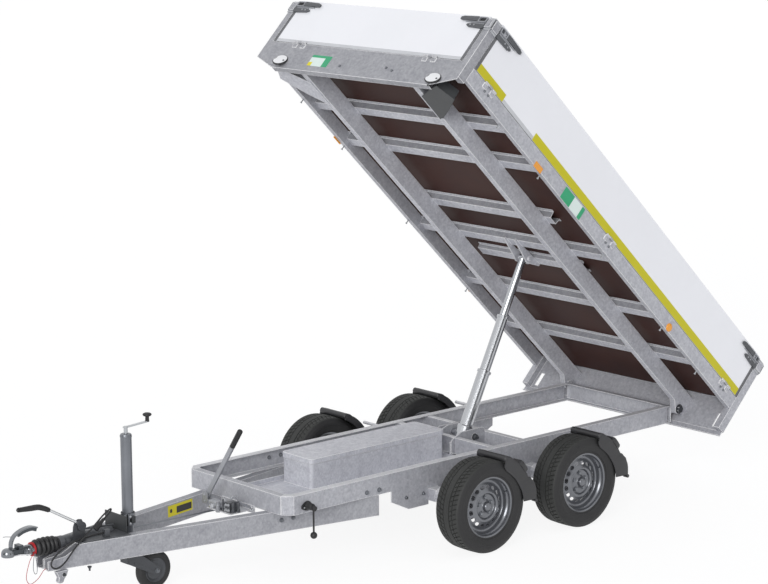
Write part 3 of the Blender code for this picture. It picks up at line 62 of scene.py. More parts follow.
# camera
view = {"place": (10.375, -9.3828 + axleY, 4.0954), "azimuth": 48.16, "elevation": 11.03, "roll": -0.32,
        "lens": 117.86}
azimuth, elevation = math.radians(view["azimuth"]), math.radians(view["elevation"])
ahead = Vector((-math.sin(azimuth) * math.cos(elevation), math.cos(azimuth) * math.cos(elevation),
                -math.sin(elevation)))
cameraData = bpy.data.cameras.new("camera")
cameraData.lens, cameraData.sensor_width = view["lens"], 36
cameraData.clip_end = 200
camera = placed("camera", cameraData)
aim = ahead.to_track_quat("-Z", "Y").to_matrix().to_4x4()
camera.matrix_world = (Matrix.Translation(view["place"]) @ aim
                       @ Matrix.Rotation(math.radians(view["roll"]), 4, "Z"))
bpy.context.scene.camera = camera
bpy.context.scene.view_settings.view_transform = "Standard"


def linear(code):  # "A6A6B2" as the linear colour of a shader
    values = [int(code[i:i + 2], 16) / 255 for i in (0, 2, 4)]
    return tuple(v / 12.92 if v <= 0.04045 else ((v + 0.055) / 1.055) ** 2.4 for v in values) + (1.0,)


class Wire:  # a shader value that can be reckoned with like a number
    def __init__(self, sheet, socket):
        self.sheet, self.socket = sheet, socket

    def reckon(self, operation, first, second=None):
        inputs = {0: first} if second is None else {0: first, 1: second}
        return self.sheet.add("ShaderNodeMath", {"operation": operation}, inputs)

    def __add__(self, other):
        return self.reckon("ADD", self, other)

    def __radd__(self, other):
        return self.reckon("ADD", other, self)

    def __sub__(self, other):
        return self.reckon("SUBTRACT", self, other)

    def __rsub__(self, other):
        return self.reckon("SUBTRACT", other, self)

    def __mul__(self, other):
        return self.reckon("MULTIPLY", self, other)

    def __rmul__(self, other):
        return self.reckon("MULTIPLY", other, self)

    def clamp(self, low=0.0, high=1.0):
        return self.reckon("MINIMUM", self.reckon("MAXIMUM", self, low), high)


class Finish:  # one material; add() makes a node from its type, its settings and what goes into its sockets
    def __init__(self, name, **shaderValues):
        self.material = bpy.data.materials.new(name)
        self.material.use_nodes = True
        self.tree = self.material.node_tree
        self.shader = self.tree.nodes["Principled BSDF"]
        self.use(**shaderValues)

    def feed(self, socket, value):
        if isinstance(value, Wire):
            self.tree.links.new(value.socket, socket)
        else:
            socket.default_value = value

    def add(self, kind, settings=None, inputs=None, out=0):
        node = self.tree.nodes.new(kind)
        for key, value in (settings or {}).items():
            if key == "stops":
                ramp = node.color_ramp
                while len(ramp.elements) < len(value):
                    ramp.elements.new(0.5)
                for element, (place, colour) in zip(ramp.elements, value):
                    element.position, element.color = place, colour
            else:
                setattr(node, key, value)
        for key, value in (inputs or {}).items():
            self.feed(node.inputs[key], value)
        return Wire(self, node.outputs[out])

    def place(self, scale=(1, 1, 1), turn=(0, 0, 0)):  # the piece's own coordinates, stretched and turned
        own = self.add("ShaderNodeTexCoord", out=3)
        return self.add("ShaderNodeMapping", {"vector_type": "TEXTURE"},
                        {"Vector": own, "Scale": tuple(1 / v for v in scale), "Rotation": turn})

    def noise(self, vector, scale, detail=3, rough=0.5):
        return self.add("ShaderNodeTexNoise", {}, {"Vector": vector, "Scale": scale, "Detail": detail,
                                                   "Roughness": rough})

    def blend(self, factor, first, second):
        return self.add("ShaderNodeMix", {"data_type": "RGBA"}, {0: factor, 6: first, 7: second}, 2)

    def bump(self, height, strength, distance=0.001, normal=None):
        inputs = {"Height": height, "Strength": strength, "Distance": distance}
        if normal is not None:
            inputs["Normal"] = normal
        return self.add("ShaderNodeBump", {}, inputs)

    def use(self, **values):  # what goes into the shader's own sockets
        for socket, value in values.items():
            self.feed(self.shader.inputs[socket.replace("_", " ")], value)
        return self.material


# finishes
# zinc tones; the edge colour is a painted highlight that the finish lays along rounded edges
zincLook = {"pale": "C3C4C9", "mid": "B3B4BA", "deep": "A2A3AA", "metal": 0.20, "gloss": 0.48,
            "edge": "FAFAFB", "edgeRadius": 0.0062, "highlightGain": 11.0, "flakes": 95.0}


# the light factor scales the whole colour, painted light above 1 and painted shade below 1; facing: a
# direction and the painted light (when positive) or painted shade (when negative) on faces turned towards
# it
def galvanised(name, streaks=(1, 1, 1), turn=(0, 0, 0), paintedLight=1.0, facing=None):
    look = Finish(name, Metallic=zincLook["metal"])
    place = look.place(turn=turn)
    flakes = look.add("ShaderNodeTexVoronoi", {"feature": "F1"},
                      {"Vector": place, "Scale": zincLook["flakes"]}, 1)
    flake = look.add("ShaderNodeSeparateColor", {}, {"Color": flakes}, 0)
    cloud = look.noise(place, 26.0, 4, 0.62)
    streak = look.noise(look.place(streaks, turn), 22.0, 4, 0.6)
    patch = look.noise(place, 3.2, 2, 0.5)
    shade = (flake - 0.5) * 0.30 + (cloud - 0.5) * 0.95 + (streak - 0.5) * 1.15 + (patch - 0.5) * 0.5 + 0.5
    stops = ((0.12, linear(zincLook["deep"])), (0.5, linear(zincLook["mid"])),
             (0.88, linear(zincLook["pale"])))
    colour = look.add("ShaderNodeValToRGB", {"stops": stops}, {"Fac": shade.clamp()})
    # painted light and shade: the whole colour is scaled up for a lit copy and down for a shaded copy
    if paintedLight != 1.0:
        colour = look.add("ShaderNodeMix", {"data_type": "RGBA", "blend_type": "MULTIPLY"},
                          {0: 1.0, 6: colour, 7: (paintedLight, paintedLight, paintedLight, 1)}, 2)
    rounded = look.add("ShaderNodeBevel", {"samples": 6}, {"Radius": zincLook["edgeRadius"]})
    flat = look.add("ShaderNodeNewGeometry", {}, out=1)
    # painted light or shade on the faces turned towards a direction: towards white when the amount is
    # positive, towards black when negative
    if facing:
        towards, amount = facing
        along = look.add("ShaderNodeVectorMath", {"operation": "DOT_PRODUCT"}, {0: flat, 1: towards}, 1)
        litOrShadedTint = (1, 1, 1, 1) if amount > 0 else (0, 0, 0, 1)
        colour = look.blend((along.clamp() * abs(amount)).clamp(), colour, litOrShadedTint)
    # painted highlight: the colour turns near white along edges, where the bevel's rounded normal parts
    # from the face's own
    same = look.add("ShaderNodeVectorMath", {"operation": "DOT_PRODUCT"}, {0: rounded, 1: flat}, 1)
    colour = look.blend(((1.0 - same) * zincLook["highlightGain"]).clamp(), colour, linear(zincLook["edge"]))
    bumps = look.bump(cloud + flake * 0.3, 0.10, 0.0012, rounded)
    return look.use(Base_Color=colour, Roughness=shade * -0.16 + (zincLook["gloss"] + 0.08), Normal=bumps)


def toned(base, factor, lift=0.0):
    return tuple(min(1, v * factor + lift) for v in base[:3]) + (1,)


def enamel(name, code, rough, metal=0.0, speck=0.06, coat=0.0):  # paint, plating or plastic, faintly cloudy
    look = Finish(name, Metallic=metal, Coat_Weight=coat)
    place = look.place()
    grain = look.noise(place, 140.0, 3, 0.6)
    cloud = look.noise(place, 9.0, 3, 0.5)
    base = linear(code)
    tone = look.blend(((cloud - 0.5) * 1.4 + 0.5).clamp(), toned(base, 1 - speck * 2),
                      toned(base, 1 + speck * 2))
    return look.use(Base_Color=tone, Roughness=grain * 0.12 + (rough - 0.06),
                    Normal=look.bump(grain, 0.06, 0.0005))


def rubberLook(name, code, rough=0.62):  # fine grained, with pale dust in patches
    look = Finish(name)
    place = look.place()
    grain = look.noise(place, 420.0, 3, 0.65)
    dust = look.noise(place, 7.0, 4, 0.55)
    base = linear(code)
    tone = look.blend(((dust - 0.45) * 2.2).clamp(), base, toned(base, 1.35, 0.004))
    return look.use(Base_Color=tone, Roughness=dust * 0.18 + (rough - 0.09),
                    Normal=look.bump(grain, 0.18, 0.0006))


def brushedTube(name, code, rough, metal, lean):  # lines drawn along the tube
    look = Finish(name, Metallic=metal)
    lines = look.noise(look.place((260, 260, 2), lean), 1.0, 3, 0.6)
    base = linear(code)
    return look.use(Base_Color=look.blend(lines, toned(base, 0.86), base), Roughness=lines * 0.10 + rough,
                    Normal=look.bump(lines, 0.03, 0.0004))


# film with a fine wire mesh pattern, the wood's grain faint under it
def plyLook(name, pale, deep, grainCode):
    look = Finish(name, Specular_IOR_Level=0.18)
    place = look.place()
    cloud = look.noise(place, 2.2, 3, 0.5)
    grain = look.noise(look.place((2.0, 30, 30)), 3.0, 4, 0.6)
    mesh = look.add("ShaderNodeTexVoronoi", {"feature": "DISTANCE_TO_EDGE"},
                    {"Vector": place, "Scale": 170.0})
    tone = look.blend(((cloud - 0.38) * 3.0).clamp(), linear(deep), linear(pale))
    tone = look.blend((grain * 0.30).clamp(), tone, linear(grainCode))
    return look.use(Base_Color=tone, Roughness=cloud * 0.15 + 0.50, Normal=look.bump(mesh, 0.08, 0.0006))


def boardLook(name, code):  # satin coating with a slight peel
    look = Finish(name, Coat_Weight=0.25, Coat_Roughness=0.25)
    place = look.place()
    peel = look.noise(place, 60.0, 2, 0.4)
    dust = look.noise(place, 3.0, 4, 0.6)
    base = linear(code)
    tone = look.blend(((dust - 0.4) * 2).clamp(), base, toned(base, 0.965))
    return look.use(Base_Color=tone, Roughness=peel * 0.08 + 0.30, Normal=look.bump(peel, 0.03, 0.0006))


# painted light: faces turned up are lighter
steel = galvanised("galvanisedSteelLitTops", (14, 3, 3), facing=((0, 0, 1), 0.40))
steelAcross = galvanised("galvanisedAcross", (14, 14, 2.2))  # streaks run down the front faces
steelBed = galvanised("galvanisedBed", (3, 3, 3), (bed["tilt"], 0, 0))
castIron = enamel("castGrey", "5C5E62", 0.42, 0.45, 0.10)
castPale = enamel("castPale", "9C9EA3", 0.40, 0.45, 0.08)
guardGrey = enamel("guardGrey", "3A3C3E", 0.50, 0.0, 0.05)
forkGrey = enamel("forkGrey", "4C4E52", 0.42, 0.35, 0.08)
tubeGrey = enamel("tubeGrey", "797C82", 0.34, 0.45, 0.06)
# painted shade: a darker copy of the galvanised finish for the drawbar's arms, the cable leg and the
# trunnion ears
steelArmShaded = galvanised("galvanisedArmShaded", (14, 3, 3), paintedLight=0.81)
# painted light: a lighter copy of the galvanised finish for the pump box
steelBoxLit = galvanised("galvanisedBoxLit", (3, 14, 3), paintedLight=1.32)
# painted shade: a darker copy of the galvanised finish for the bed's front frame
steelPlateShaded = galvanised("galvanisedPlateShaded", (3, 3, 3), (bed["tilt"], 0, 0), 0.76)
# painted light: a lighter copy of the galvanised finish for the bed's beams and crosses
steelBeamLitShaded = galvanised("galvanisedBeamLitShaded", (3, 3, 3), (bed["tilt"], 0, 0), 1.22,
                       (onBed(0, 1, 0) - onBed(0, 0, 0), -0.42))  # painted shade where it faces up the bed
knuckleGrey = enamel("knuckleGrey", "A9AAAF", 0.42, 0.30, 0.06)
darkChrome = enamel("darkChrome", "84878B", 0.20, 0.90, 0.05)
deepChrome = enamel("deepChrome", "505458", 0.24, 0.90, 0.08)
leverZinc = enamel("leverZinc", "DADCDE", 0.24, 0.75, 0.04)
darkSteel = enamel("darkSteel", "4A4C50", 0.45, 0.45, 0.08)
brightZinc = enamel("brightZinc", "B9BCBF", 0.30, 0.80, 0.06)
boltSteel = enamel("boltSteel", "7C7F84", 0.34, 0.75, 0.08)
boltPale = enamel("boltPale", "B4B6BA", 0.34, 0.55, 0.08)
# leant as the cylinder stands
chromeTube = brushedTube("groundTube", "BBBDC1", 0.13, 0.95, (-0.4625, 0, 0))
whiteBoard = boardLook("whiteBoard", "F0F1F5")
boardProfile = enamel("boardProfile", "C9CBCF", 0.38, 0.35, 0.04)
sealGrey = enamel("sealGrey", "6C6D70", 0.50, 0.20, 0.08)
stripeYellow = enamel("stripeYellow", "C6BE06", 0.42, 0.0, 0.02)
ply = plyLook("filmFacedPly", "492E28", "3B2420", "301D1A")
tyreRubber = rubberLook("tyreRubber", "252526", 0.66)
treadRubber = rubberLook("treadRubber", "303130", 0.72)
softBlack = rubberLook("softBlack", "1D1D1F", 0.50)
mouldedBlack = rubberLook("mouldedBlack", "303032", 0.46)
wheelSilver = enamel("wheelSilver", "75777C", 0.30, 0.80, 0.05, 0.3)
orangeLens = enamel("orangeLens", "E8970C", 0.18, 0.0, 0.05, 0.6)
whiteLens = enamel("whiteLens", "EDEEF0", 0.15, 0.0, 0.03, 0.7)
redCord = enamel("redCord", "B21B22", 0.45, 0.0, 0.06)
signGreen = enamel("signGreen", "2FA070", 0.42, 0.0, 0.05)
signPale = enamel("signPale", "DDEBE6", 0.42, 0.0, 0.03)
signYellow = enamel("signYellow", "DFD21E", 0.40, 0.0, 0.03)
signBlack = enamel("signBlack", "1C1C1E", 0.40, 0.0, 0.05)
print("made the finishes")

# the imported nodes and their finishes
nodeFinish = {"side_member_": steel, "front_cross_member": steelAcross, "rear_cross_member": steelAcross,
              "hoist_mount": steel, "axle_": steel, "drawbar_arm_": steelArmShaded, "pump_box": steelBoxLit,
              "overrun_housing": castIron, "handbrake": brightZinc, "jockey_clamp": guardGrey,
              "jockey_tube": tubeGrey, "jockey_leg": brightZinc, "jockey_fork": darkSteel,
              "jockey_wheel": tyreRubber, "hand_pump": boltSteel, "side_crank": softBlack,
              "brake_rod": boltSteel, "lead_plug": softBlack, "bed_beam_": steelBeamLitShaded, "cross_": steelBeamLitShaded,
              "side_rail_": steelBed, "front_frame": steelPlateShaded, "rear_frame": steelBed, "floor": ply,
              "beam_guard_": guardGrey, "beam_guard_right": steelBeamLitShaded, "side_board_": whiteBoard,
              "front_board": whiteBoard, "tailgate": whiteBoard, "hoist_": chromeTube,
              "fender_": mouldedBlack, "bellows": softBlack, "coupling_head": brightZinc,
              "tyre_": tyreRubber, "rim_": wheelSilver, "lead": softBlack, "breakaway_cable": redCord,}
for nodeName, node in nodes.items():
    matches = [key for key in nodeFinish if nodeName.startswith(key)]
    finish = nodeFinish[max(matches, key=len)]
    for slot in node.material_slots:
        slot.link = "OBJECT"
        slot.material = finish
print("dressed the nodes")


# making pieces
def addPiece(name, shape, finish, body, smooth=35, rounding=0.0):
    mesh = bpy.data.meshes.new(name)
    bmesh.ops.recalc_face_normals(shape, faces=shape.faces)
    shape.to_mesh(mesh)
    shape.free()
    for each in finish if isinstance(finish, list) else [finish]:
        mesh.materials.append(each)
    if smooth:
        mesh.shade_smooth()
        mesh.set_sharp_from_angle(angle=math.radians(smooth))
    piece = placed(name, mesh)
    if rounding:
        bevel = piece.modifiers.new("rounding", "BEVEL")
        bevel.width, bevel.segments, bevel.limit_method = rounding, 2, "ANGLE"
        bevel.angle_limit = math.radians(35)
        bevel.harden_normals = True
    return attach(piece, body)


def joined(*shapes):  # one shape of several, which are used up
    whole = shapes[0]
    for shape in shapes[1:]:
        mesh = bpy.data.meshes.new("joining")
        shape.to_mesh(mesh)
        shape.free()
        whole.from_mesh(mesh)
        bpy.data.meshes.remove(mesh)
    return whole


def painted(shape, index):  # all its faces take the finish of that number
    for face in shape.faces:
        face.material_index = index
    return shape


def moved(shape, matrix):
    bmesh.ops.transform(shape, matrix=matrix, verts=shape.verts)
    return shape


def slab(low, high):  # a block between two corners
    shape = bmesh.new()
    bmesh.ops.create_cube(shape, size=1.0)
    low, high = Vector(low), Vector(high)
    size, middle = high - low, (high + low) / 2
    stretch = Matrix.Diagonal((abs(size.x), abs(size.y), abs(size.z), 1))
    return moved(shape, Matrix.Translation(middle) @ stretch)


def across(direction):  # a turn whose Z runs along the direction
    return Vector(direction).normalized().to_track_quat("Z", "Y").to_matrix().to_4x4()


def sideways(x, y, z, side=1):  # stands a flat outline of Y and Z across X, thick towards the side
    return Matrix(((0, 0, side, x), (1, 0, 0, y), (0, 1, 0, z), (0, 0, 0, 1)))


def frontways(x, y, z):  # stands a flat outline of X and Z across Y, thick towards the nose
    return Matrix(((1, 0, 0, x), (0, 0, -1, y), (0, 1, 0, z), (0, 0, 0, 1)))


def stitch(shape, lower, upper):  # a band of faces between two closed rings, of which one may be a point
    count = max(len(lower), len(upper))
    for k in range(count):
        after = (k + 1) % count
        corners = dict.fromkeys((lower[k % len(lower)], lower[after % len(lower)],
                                 upper[after % len(upper)], upper[k % len(upper)]))
        if len(corners) > 2:
            shape.faces.new(list(corners))


def spun(profile, start, direction, steps=24):  # radius and height pairs, turned round an axis
    shape = bmesh.new()
    rings = []
    for radius, height in profile:
        if radius < 1e-7:
            rings.append([shape.verts.new((0, 0, height))])
            continue
        rings.append([shape.verts.new((radius * math.cos(2 * math.pi * k / steps),
                                       radius * math.sin(2 * math.pi * k / steps), height))
                      for k in range(steps)])
    for lower, upper in zip(rings, rings[1:]):
        stitch(shape, lower, upper)
    return moved(shape, Matrix.Translation(start) @ across(direction))


def bar(start, end, radius, steps=16, cut=0.0):  # a round bar, its ends chamfered by the cut
    start, end = Vector(start), Vector(end)
    long = (end - start).length
    profile = [(0, 0), (radius, 0), (radius, long), (0, long)]
    if cut:
        profile = [(0, 0), (radius - cut, 0), (radius, cut), (radius, long - cut), (radius - cut, long),
                   (0, long)]
    return spun(profile, start, end - start, steps)


def sheetOf(outline, thick, matrix=Matrix()):  # a flat outline in X and Y, thick along Z
    shape = bmesh.new()
    lower = [shape.verts.new((x, y, 0)) for x, y in outline]
    upper = [shape.verts.new((x, y, thick)) for x, y in outline]
    shape.faces.new(lower[::-1])
    shape.faces.new(upper)
    stitch(shape, lower, upper)
    return moved(shape, matrix)


def lofted(loops):  # closed loops of points joined into one body
    shape = bmesh.new()
    rings = [[shape.verts.new(point) for point in loop] for loop in loops]
    for lower, upper in zip(rings, rings[1:]):
        stitch(shape, lower, upper)
    shape.faces.new(rings[0][::-1])
    shape.faces.new(rings[-1])
    return shape


# hexagon head, wide over its flats, with its washer
def bolt(place, direction, wide=0.019, washer=True, thread=0.0):
    radius, up = wide / math.sqrt(3), (0, 0, 1)
    parts = []
    if washer:
        parts.append(spun(((0, 0), (radius * 1.22, 0), (radius * 1.22, 0.002), (radius * 1.05, 0.0026),
                           (0, 0.0026)), (0, 0, 0), up, 20))
    parts.append(spun(((0, 0.0026), (radius, 0.0026), (radius, wide * 0.52), (radius * 0.86, wide * 0.62),
                       (0, wide * 0.62)), (0, 0, 0), up, 6))
    if thread:
        parts.append(bar((0, 0, 0.002), (0, 0, wide * 0.62 + thread), radius * 0.52, 12, 0.001))
    return moved(joined(*parts), Matrix.Translation(place) @ across(direction))


def smoothLine(points, step):  # points about a step apart on a smooth curve through the given ones
    points = [Vector(point) for point in points]
    ends = [2 * points[0] - points[1], *points, 2 * points[-1] - points[-2]]
    line = []
    for a, b, c, d in zip(ends, ends[1:], ends[2:], ends[3:]):
        count = max(2, round((c - b).length / step))
        for i in range(count):
            t = i / count
            line.append(0.5 * (2 * b + (c - a) * t + (2 * a - 5 * b + 4 * c - d) * t * t
                               + (3 * b - a - 3 * c + d) * t ** 3))
    return line + [points[-1]]


def tube(points, radius, steps=10):  # a round bar along a line of points; a list of radii varies it
    points = [Vector(point) for point in points]
    shape = bmesh.new()
    rings = []
    ways = [(b - a).normalized() for a, b in zip(points, points[1:])]
    side = ways[0].orthogonal().normalized()
    for i, point in enumerate(points):
        if 0 < i < len(points) - 1:
            way = (ways[i - 1] + ways[i]).normalized()
        else:
            way = ways[0] if i == 0 else ways[-1]
        side = (side - way * side.dot(way)).normalized()
        other = way.cross(side)
        size = radius[i] if isinstance(radius, list) else radius
        rings.append([shape.verts.new(point + size * (side * math.cos(2 * math.pi * k / steps)
                                                      + other * math.sin(2 * math.pi * k / steps)))
                      for k in range(steps)])
    for lower, upper in zip(rings, rings[1:]):
        stitch(shape, lower, upper)
    shape.faces.new(rings[0][::-1])
    shape.faces.new(rings[-1])
    return shape


# the free cords, which come first
leadRoute = {"points": ((0.075, -2.115, 0.396), (0.075, -2.160, 0.396), (0.074, -2.230, 0.392),
                        (0.078, -2.310, 0.384), (0.082, -2.385, 0.358), (0.082, -2.440, 0.318),
                        (0.088, -2.452, 0.288), (0.094, -2.425, 0.272), (0.094, -2.375, 0.292),
                        (0.092, -2.300, 0.362), (0.088, -2.200, 0.435), (0.078, -2.115, 0.492),
                        (0.070, -2.065, 0.512), (0.060, -2.060, 0.494), (0.056, -2.095, 0.464)),
             "radius": 0.0045}
pullRoute = {"points": ((0.0308, -2.520, 0.364), (0.0350, -2.520, 0.364), (0.0395, -2.520, 0.364),
                        (0.054, -2.560, 0.330), (0.056, -2.585, 0.250), (0.050, -2.560, 0.208),
                        (0.040, -2.505, 0.222), (0.032, -2.465, 0.255), (0.032, -2.450, 0.262)),
             "radius": 0.0016}


def addCord(name, route, step, finish, node):
    line = smoothLine([onChassis(*point) for point in route["points"]], step)
    curve = bpy.data.curves.new(name, "CURVE")
    curve.dimensions = "3D"
    curve.bevel_depth, curve.bevel_resolution, curve.use_fill_caps = route["radius"], 4, True
    spline = curve.splines.new("POLY")
    spline.points.add(len(line) - 1)
    for point, place in zip(spline.points, line):
        point.co = (*place, 1)
    curve.materials.append(finish)
    piece = placed(name, curve)
    long = sum((b - a).length for a, b in zip(line, line[1:]))
    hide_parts(node)
    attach(piece, "chassis")
    print(name, "is", round(long, 3), "m long")


addCord("leadCable", leadRoute, 0.008, softBlack, "lead")
addCord("pullCable", pullRoute, 0.005, redCord, "breakaway_cable")

# tyres
tyre = {"radius": 0.2623, "pitches": 60, "groove": 0.0062, "crown": 0.0019, "treadHalf": 0.0655,
        "treadFrom": 0.2545, "grooves": ((0.0185, 0.0245), (0.0435, 0.0485)), "skew": 1.75, "slot": 0.20,
        "side": ((0.0692, 0.1655), (0.0765, 0.1690), (0.0798, 0.1755), (0.0800, 0.1800), (0.0842, 0.1818),
                 (0.0868, 0.1862), (0.0880, 0.1900), (0.0906, 0.1955), (0.0932, 0.2030), (0.0953, 0.2110),
                 (0.0958, 0.2118), (0.0966, 0.2124), (0.0972, 0.2200), (0.0972, 0.2235), (0.0963, 0.2242),
                 (0.0955, 0.2300), (0.0938, 0.2375), (0.0932, 0.2382), (0.0910, 0.2440), (0.0882, 0.2500),
                 (0.0846, 0.2548), (0.0800, 0.2582), (0.0738, 0.2600))}
hub = {"x": 0.685, "z": 0.2625, "axleGap": 0.754}
wheelPlaces = [(axle, name, side, y) for axle, y in (("front", axleY), ("rear", axleY + hub["axleGap"]))
               for name, side in sides]


# rows over the tread: x, whether it lies in a lengthwise groove, whether crosswise slots cut it
def treadRows():
    edges = [(-tyre["treadHalf"], False, True)]
    lip, wall = 0.0002, 0.0012  # how far a groove's wall leans out at the top and in at the bottom
    for low, high in sorted([(-high, -low) for low, high in tyre["grooves"]] + list(tyre["grooves"])):
        inner = abs(low + high) / 2 < 0.03
        edges += [(low - lip, False, not inner or low < 0), (low + wall, True, False),
                  (high - wall, True, False), (high + lip, False, not inner or low > 0)]
    edges.append((tyre["treadHalf"], False, True))
    return edges


def tyreShape(side):  # rows of x, radius and whether the crosswise slots cut them, swept round the axle
    wall = [(x, radius, False) for x, radius in tyre["side"]]
    wall[-1] = (*tyre["side"][-1], True)  # the shoulder, which the slots reach
    tread = []
    for x, inGroove, slotted in reversed(treadRows()):
        groove = tyre["groove"] if inGroove else 0
        radius = tyre["radius"] - tyre["crown"] * (x / tyre["treadHalf"]) ** 2 - groove
        tread.append((x, radius, slotted))
    rows = wall + tread + [(-x, radius, slotted) for x, radius, slotted in reversed(wall)]
    shape = bmesh.new()
    step = 2 * math.pi / tyre["pitches"]
    stations = ((0.0, False), (1 - tyre["slot"] - 0.04, False), (1 - tyre["slot"], True), (0.97, True))
    columns = []
    for pitch in range(tyre["pitches"]):
        for share, inSlot in stations:
            column = []
            for x, radius, slotted in rows:
                angle = (pitch + share) * step - tyre["skew"] * min(abs(x), 0.075) * side
                drop = tyre["groove"] * (0.9 if abs(x) < 0.07 else 0.45) if inSlot and slotted else 0
                column.append(shape.verts.new((x, (radius - drop) * math.cos(angle),
                                               (radius - drop) * math.sin(angle))))
            columns.append(column)
    for a, b in zip(columns, columns[1:] + columns[:1]):
        stitch(shape, a, b)
    for face in shape.faces:
        middle = face.calc_center_median()
        face.material_index = 1 if math.hypot(middle.y, middle.z) > tyre["treadFrom"] else 0
    return shape


for axle, name, side, y in wheelPlaces:
    shape = moved(tyreShape(side), Matrix.Translation((side * hub["x"], y, hub["z"])))
    piece = addPiece("tyreTread_%s_%s" % (axle, name), shape, [tyreRubber, treadRubber],
                     "wheel_%s_%s" % (axle, name), 32)
    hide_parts("tyre_%s_%s" % (axle, name))
print("made the tyres")

# wheels
wheel = {"vents": 16, "perVent": 8, "ventRadius": 0.1095, "ventLong": 0.0155, "ventTall": 0.0095,
         "band": (0.0945, 0.1245), "bandDepth": (0.0485, 0.0325), "spread": (0.0215, 0.015),
         "wall": 0.0035, "nuts": (5, 0.0362, 0.049),
         "face": ((0.0, 0.0715), (0.010, 0.0712), (0.018, 0.0695), (0.0225, 0.066), (0.0245, 0.061),
                  (0.0250, 0.048), (0.0265, 0.0455), (0.030, 0.0440), (0.034, 0.0395), (0.041, 0.0365),
                  (0.058, 0.0362), (0.066, 0.0375), (0.0700, 0.0415), (0.0722, 0.0500), (0.0750, 0.0545),
                  (0.0790, 0.0562), (0.0845, 0.0558), (0.0890, 0.0530), (0.0945, 0.0485)),
         "rest": ((0.1245, 0.0325), (0.1300, 0.0285), (0.1380, 0.0262), (0.1450, 0.0272), (0.1485, 0.0305),
                  (0.1500, 0.0360), (0.1515, 0.0500), (0.1560, 0.0570), (0.1592, 0.0600), (0.1605, 0.0680),
                  (0.1625, 0.0740), (0.1690, 0.0775), (0.1740, 0.0778), (0.1775, 0.0795), (0.1782, 0.0772),
                  (0.1760, 0.0758), (0.1690, 0.0750), (0.1652, 0.0715), (0.1645, 0.0600), (0.1600, 0.0480),
                  (0.1540, 0.0300), (0.1510, 0.0100), (0.1510, -0.0100), (0.1600, -0.0300),
                  (0.1645, -0.0400), (0.1652, -0.0715), (0.1690, -0.0750), (0.1782, -0.0772),
                  (0.1775, -0.0795), (0.1700, -0.0778), (0.1605, -0.0700), (0.1600, -0.0400),
                  (0.1560, -0.0310), (0.1455, -0.0100), (0.1430, 0.0150), (0.1380, 0.0225),
                  (0.1300, 0.0248), (0.1245, 0.0290))}


def bandPoint(angle, radius, back):  # on the ring that carries the vents, on its front or its back
    low, high = wheel["band"]
    inner, outer = wheel["bandDepth"]
    x = inner + (outer - inner) * (radius - low) / (high - low) - (wheel["wall"] if back else 0)
    return (x, radius * math.cos(angle), radius * math.sin(angle))


def rimShape():  # the disc and the rim as turned profiles, and between them the band with its vents
    shape = bmesh.new()
    around = wheel["vents"] * wheel["perVent"]
    turn = 2 * math.pi / around
    backFace = [(0.0945, 0.0450), (0.0850, 0.0520), (0.0780, 0.0520), (0.0735, 0.0460), (0.0700, 0.0330),
                (0.0, 0.0330)]

    def rings(profile):
        made = [[shape.verts.new((x, 0, 0))] if radius < 1e-7
                else [shape.verts.new((x, radius * math.cos(turn * k), radius * math.sin(turn * k)))
                      for k in range(around)] for radius, x in profile]
        for lower, upper in zip(made, made[1:]):
            stitch(shape, lower, upper)
        return made

    face, rest, back = rings(wheel["face"]), rings(wheel["rest"]), rings(backFace)
    low, high = wheel["band"]
    frontLoops = []
    for front in (True, False):
        inner = face[-1] if front else back[0]
        outer = rest[0] if front else rest[-1]
        spokes = []
        for vent in range(wheel["vents"]):
            angle = turn * vent * wheel["perVent"]
            spokes.append([shape.verts.new(bandPoint(angle, low + (high - low) * share, not front))
                           for share in (0.30, 0.70)])
        for vent in range(wheel["vents"]):
            first = vent * wheel["perVent"]
            bottom = [inner[(first + k) % around] for k in range(wheel["perVent"] + 1)]
            top = [outer[(first + k) % around] for k in range(wheel["perVent"] + 1)]
            edge = bottom + spokes[(vent + 1) % wheel["vents"]] + top[::-1] + spokes[vent][::-1]
            middle = turn * (first + wheel["perVent"] / 2)
            hole = []
            for vert in edge:
                angle = math.atan2(vert.co.z, vert.co.y) - middle
                angle = (angle + math.pi) % (2 * math.pi) - math.pi
                u, v = angle * wheel["ventRadius"], math.hypot(vert.co.y, vert.co.z) - wheel["ventRadius"]
                way = math.atan2(v / wheel["spread"][1], u / wheel["spread"][0])
                about = middle + wheel["ventLong"] * math.cos(way) / wheel["ventRadius"]
                reach = wheel["ventRadius"] + wheel["ventTall"] * math.sin(way)
                hole.append(shape.verts.new(bandPoint(about, reach, not front)))
            stitch(shape, edge, hole)
            if front:
                frontLoops.append(hole)
            else:
                stitch(shape, frontLoops[vent], hole)  # the vent's wall through the sheet
    return shape


def wheelNuts():  # the nuts on their washers, and the valve
    count, x, circle = wheel["nuts"]
    parts = []
    for k in range(count):
        angle = math.radians(90 + 360 / count * k)
        place = (x, circle * math.cos(angle), circle * math.sin(angle))
        parts.append(spun(((0, 0), (0.0125, 0), (0.0118, 0.003), (0.0100, 0.0035), (0, 0.0035)), place,
                          (1, 0, 0), 18))
        parts.append(bolt(place, (1, 0, 0), 0.017, False))
    parts.append(bar((0.050, 0.139, 0.055), (0.064, 0.139, 0.055), 0.0042, 10, 0.001))
    return joined(*parts)


for axle, name, side, y in wheelPlaces:
    turn = Matrix.Rotation(0 if side > 0 else math.pi, 4, "Z")
    face = Matrix.Translation((side * hub["x"], y, hub["z"])) @ turn
    body = "wheel_%s_%s" % (axle, name)
    piece = addPiece("wheelDisc_%s_%s" % (axle, name), moved(rimShape(), face), wheelSilver, body,
                     40)
    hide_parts("rim_%s_%s" % (axle, name))
    addPiece("wheelNuts_%s_%s" % (axle, name), moved(wheelNuts(), face), boltSteel, body, 35)
print("made the wheels")

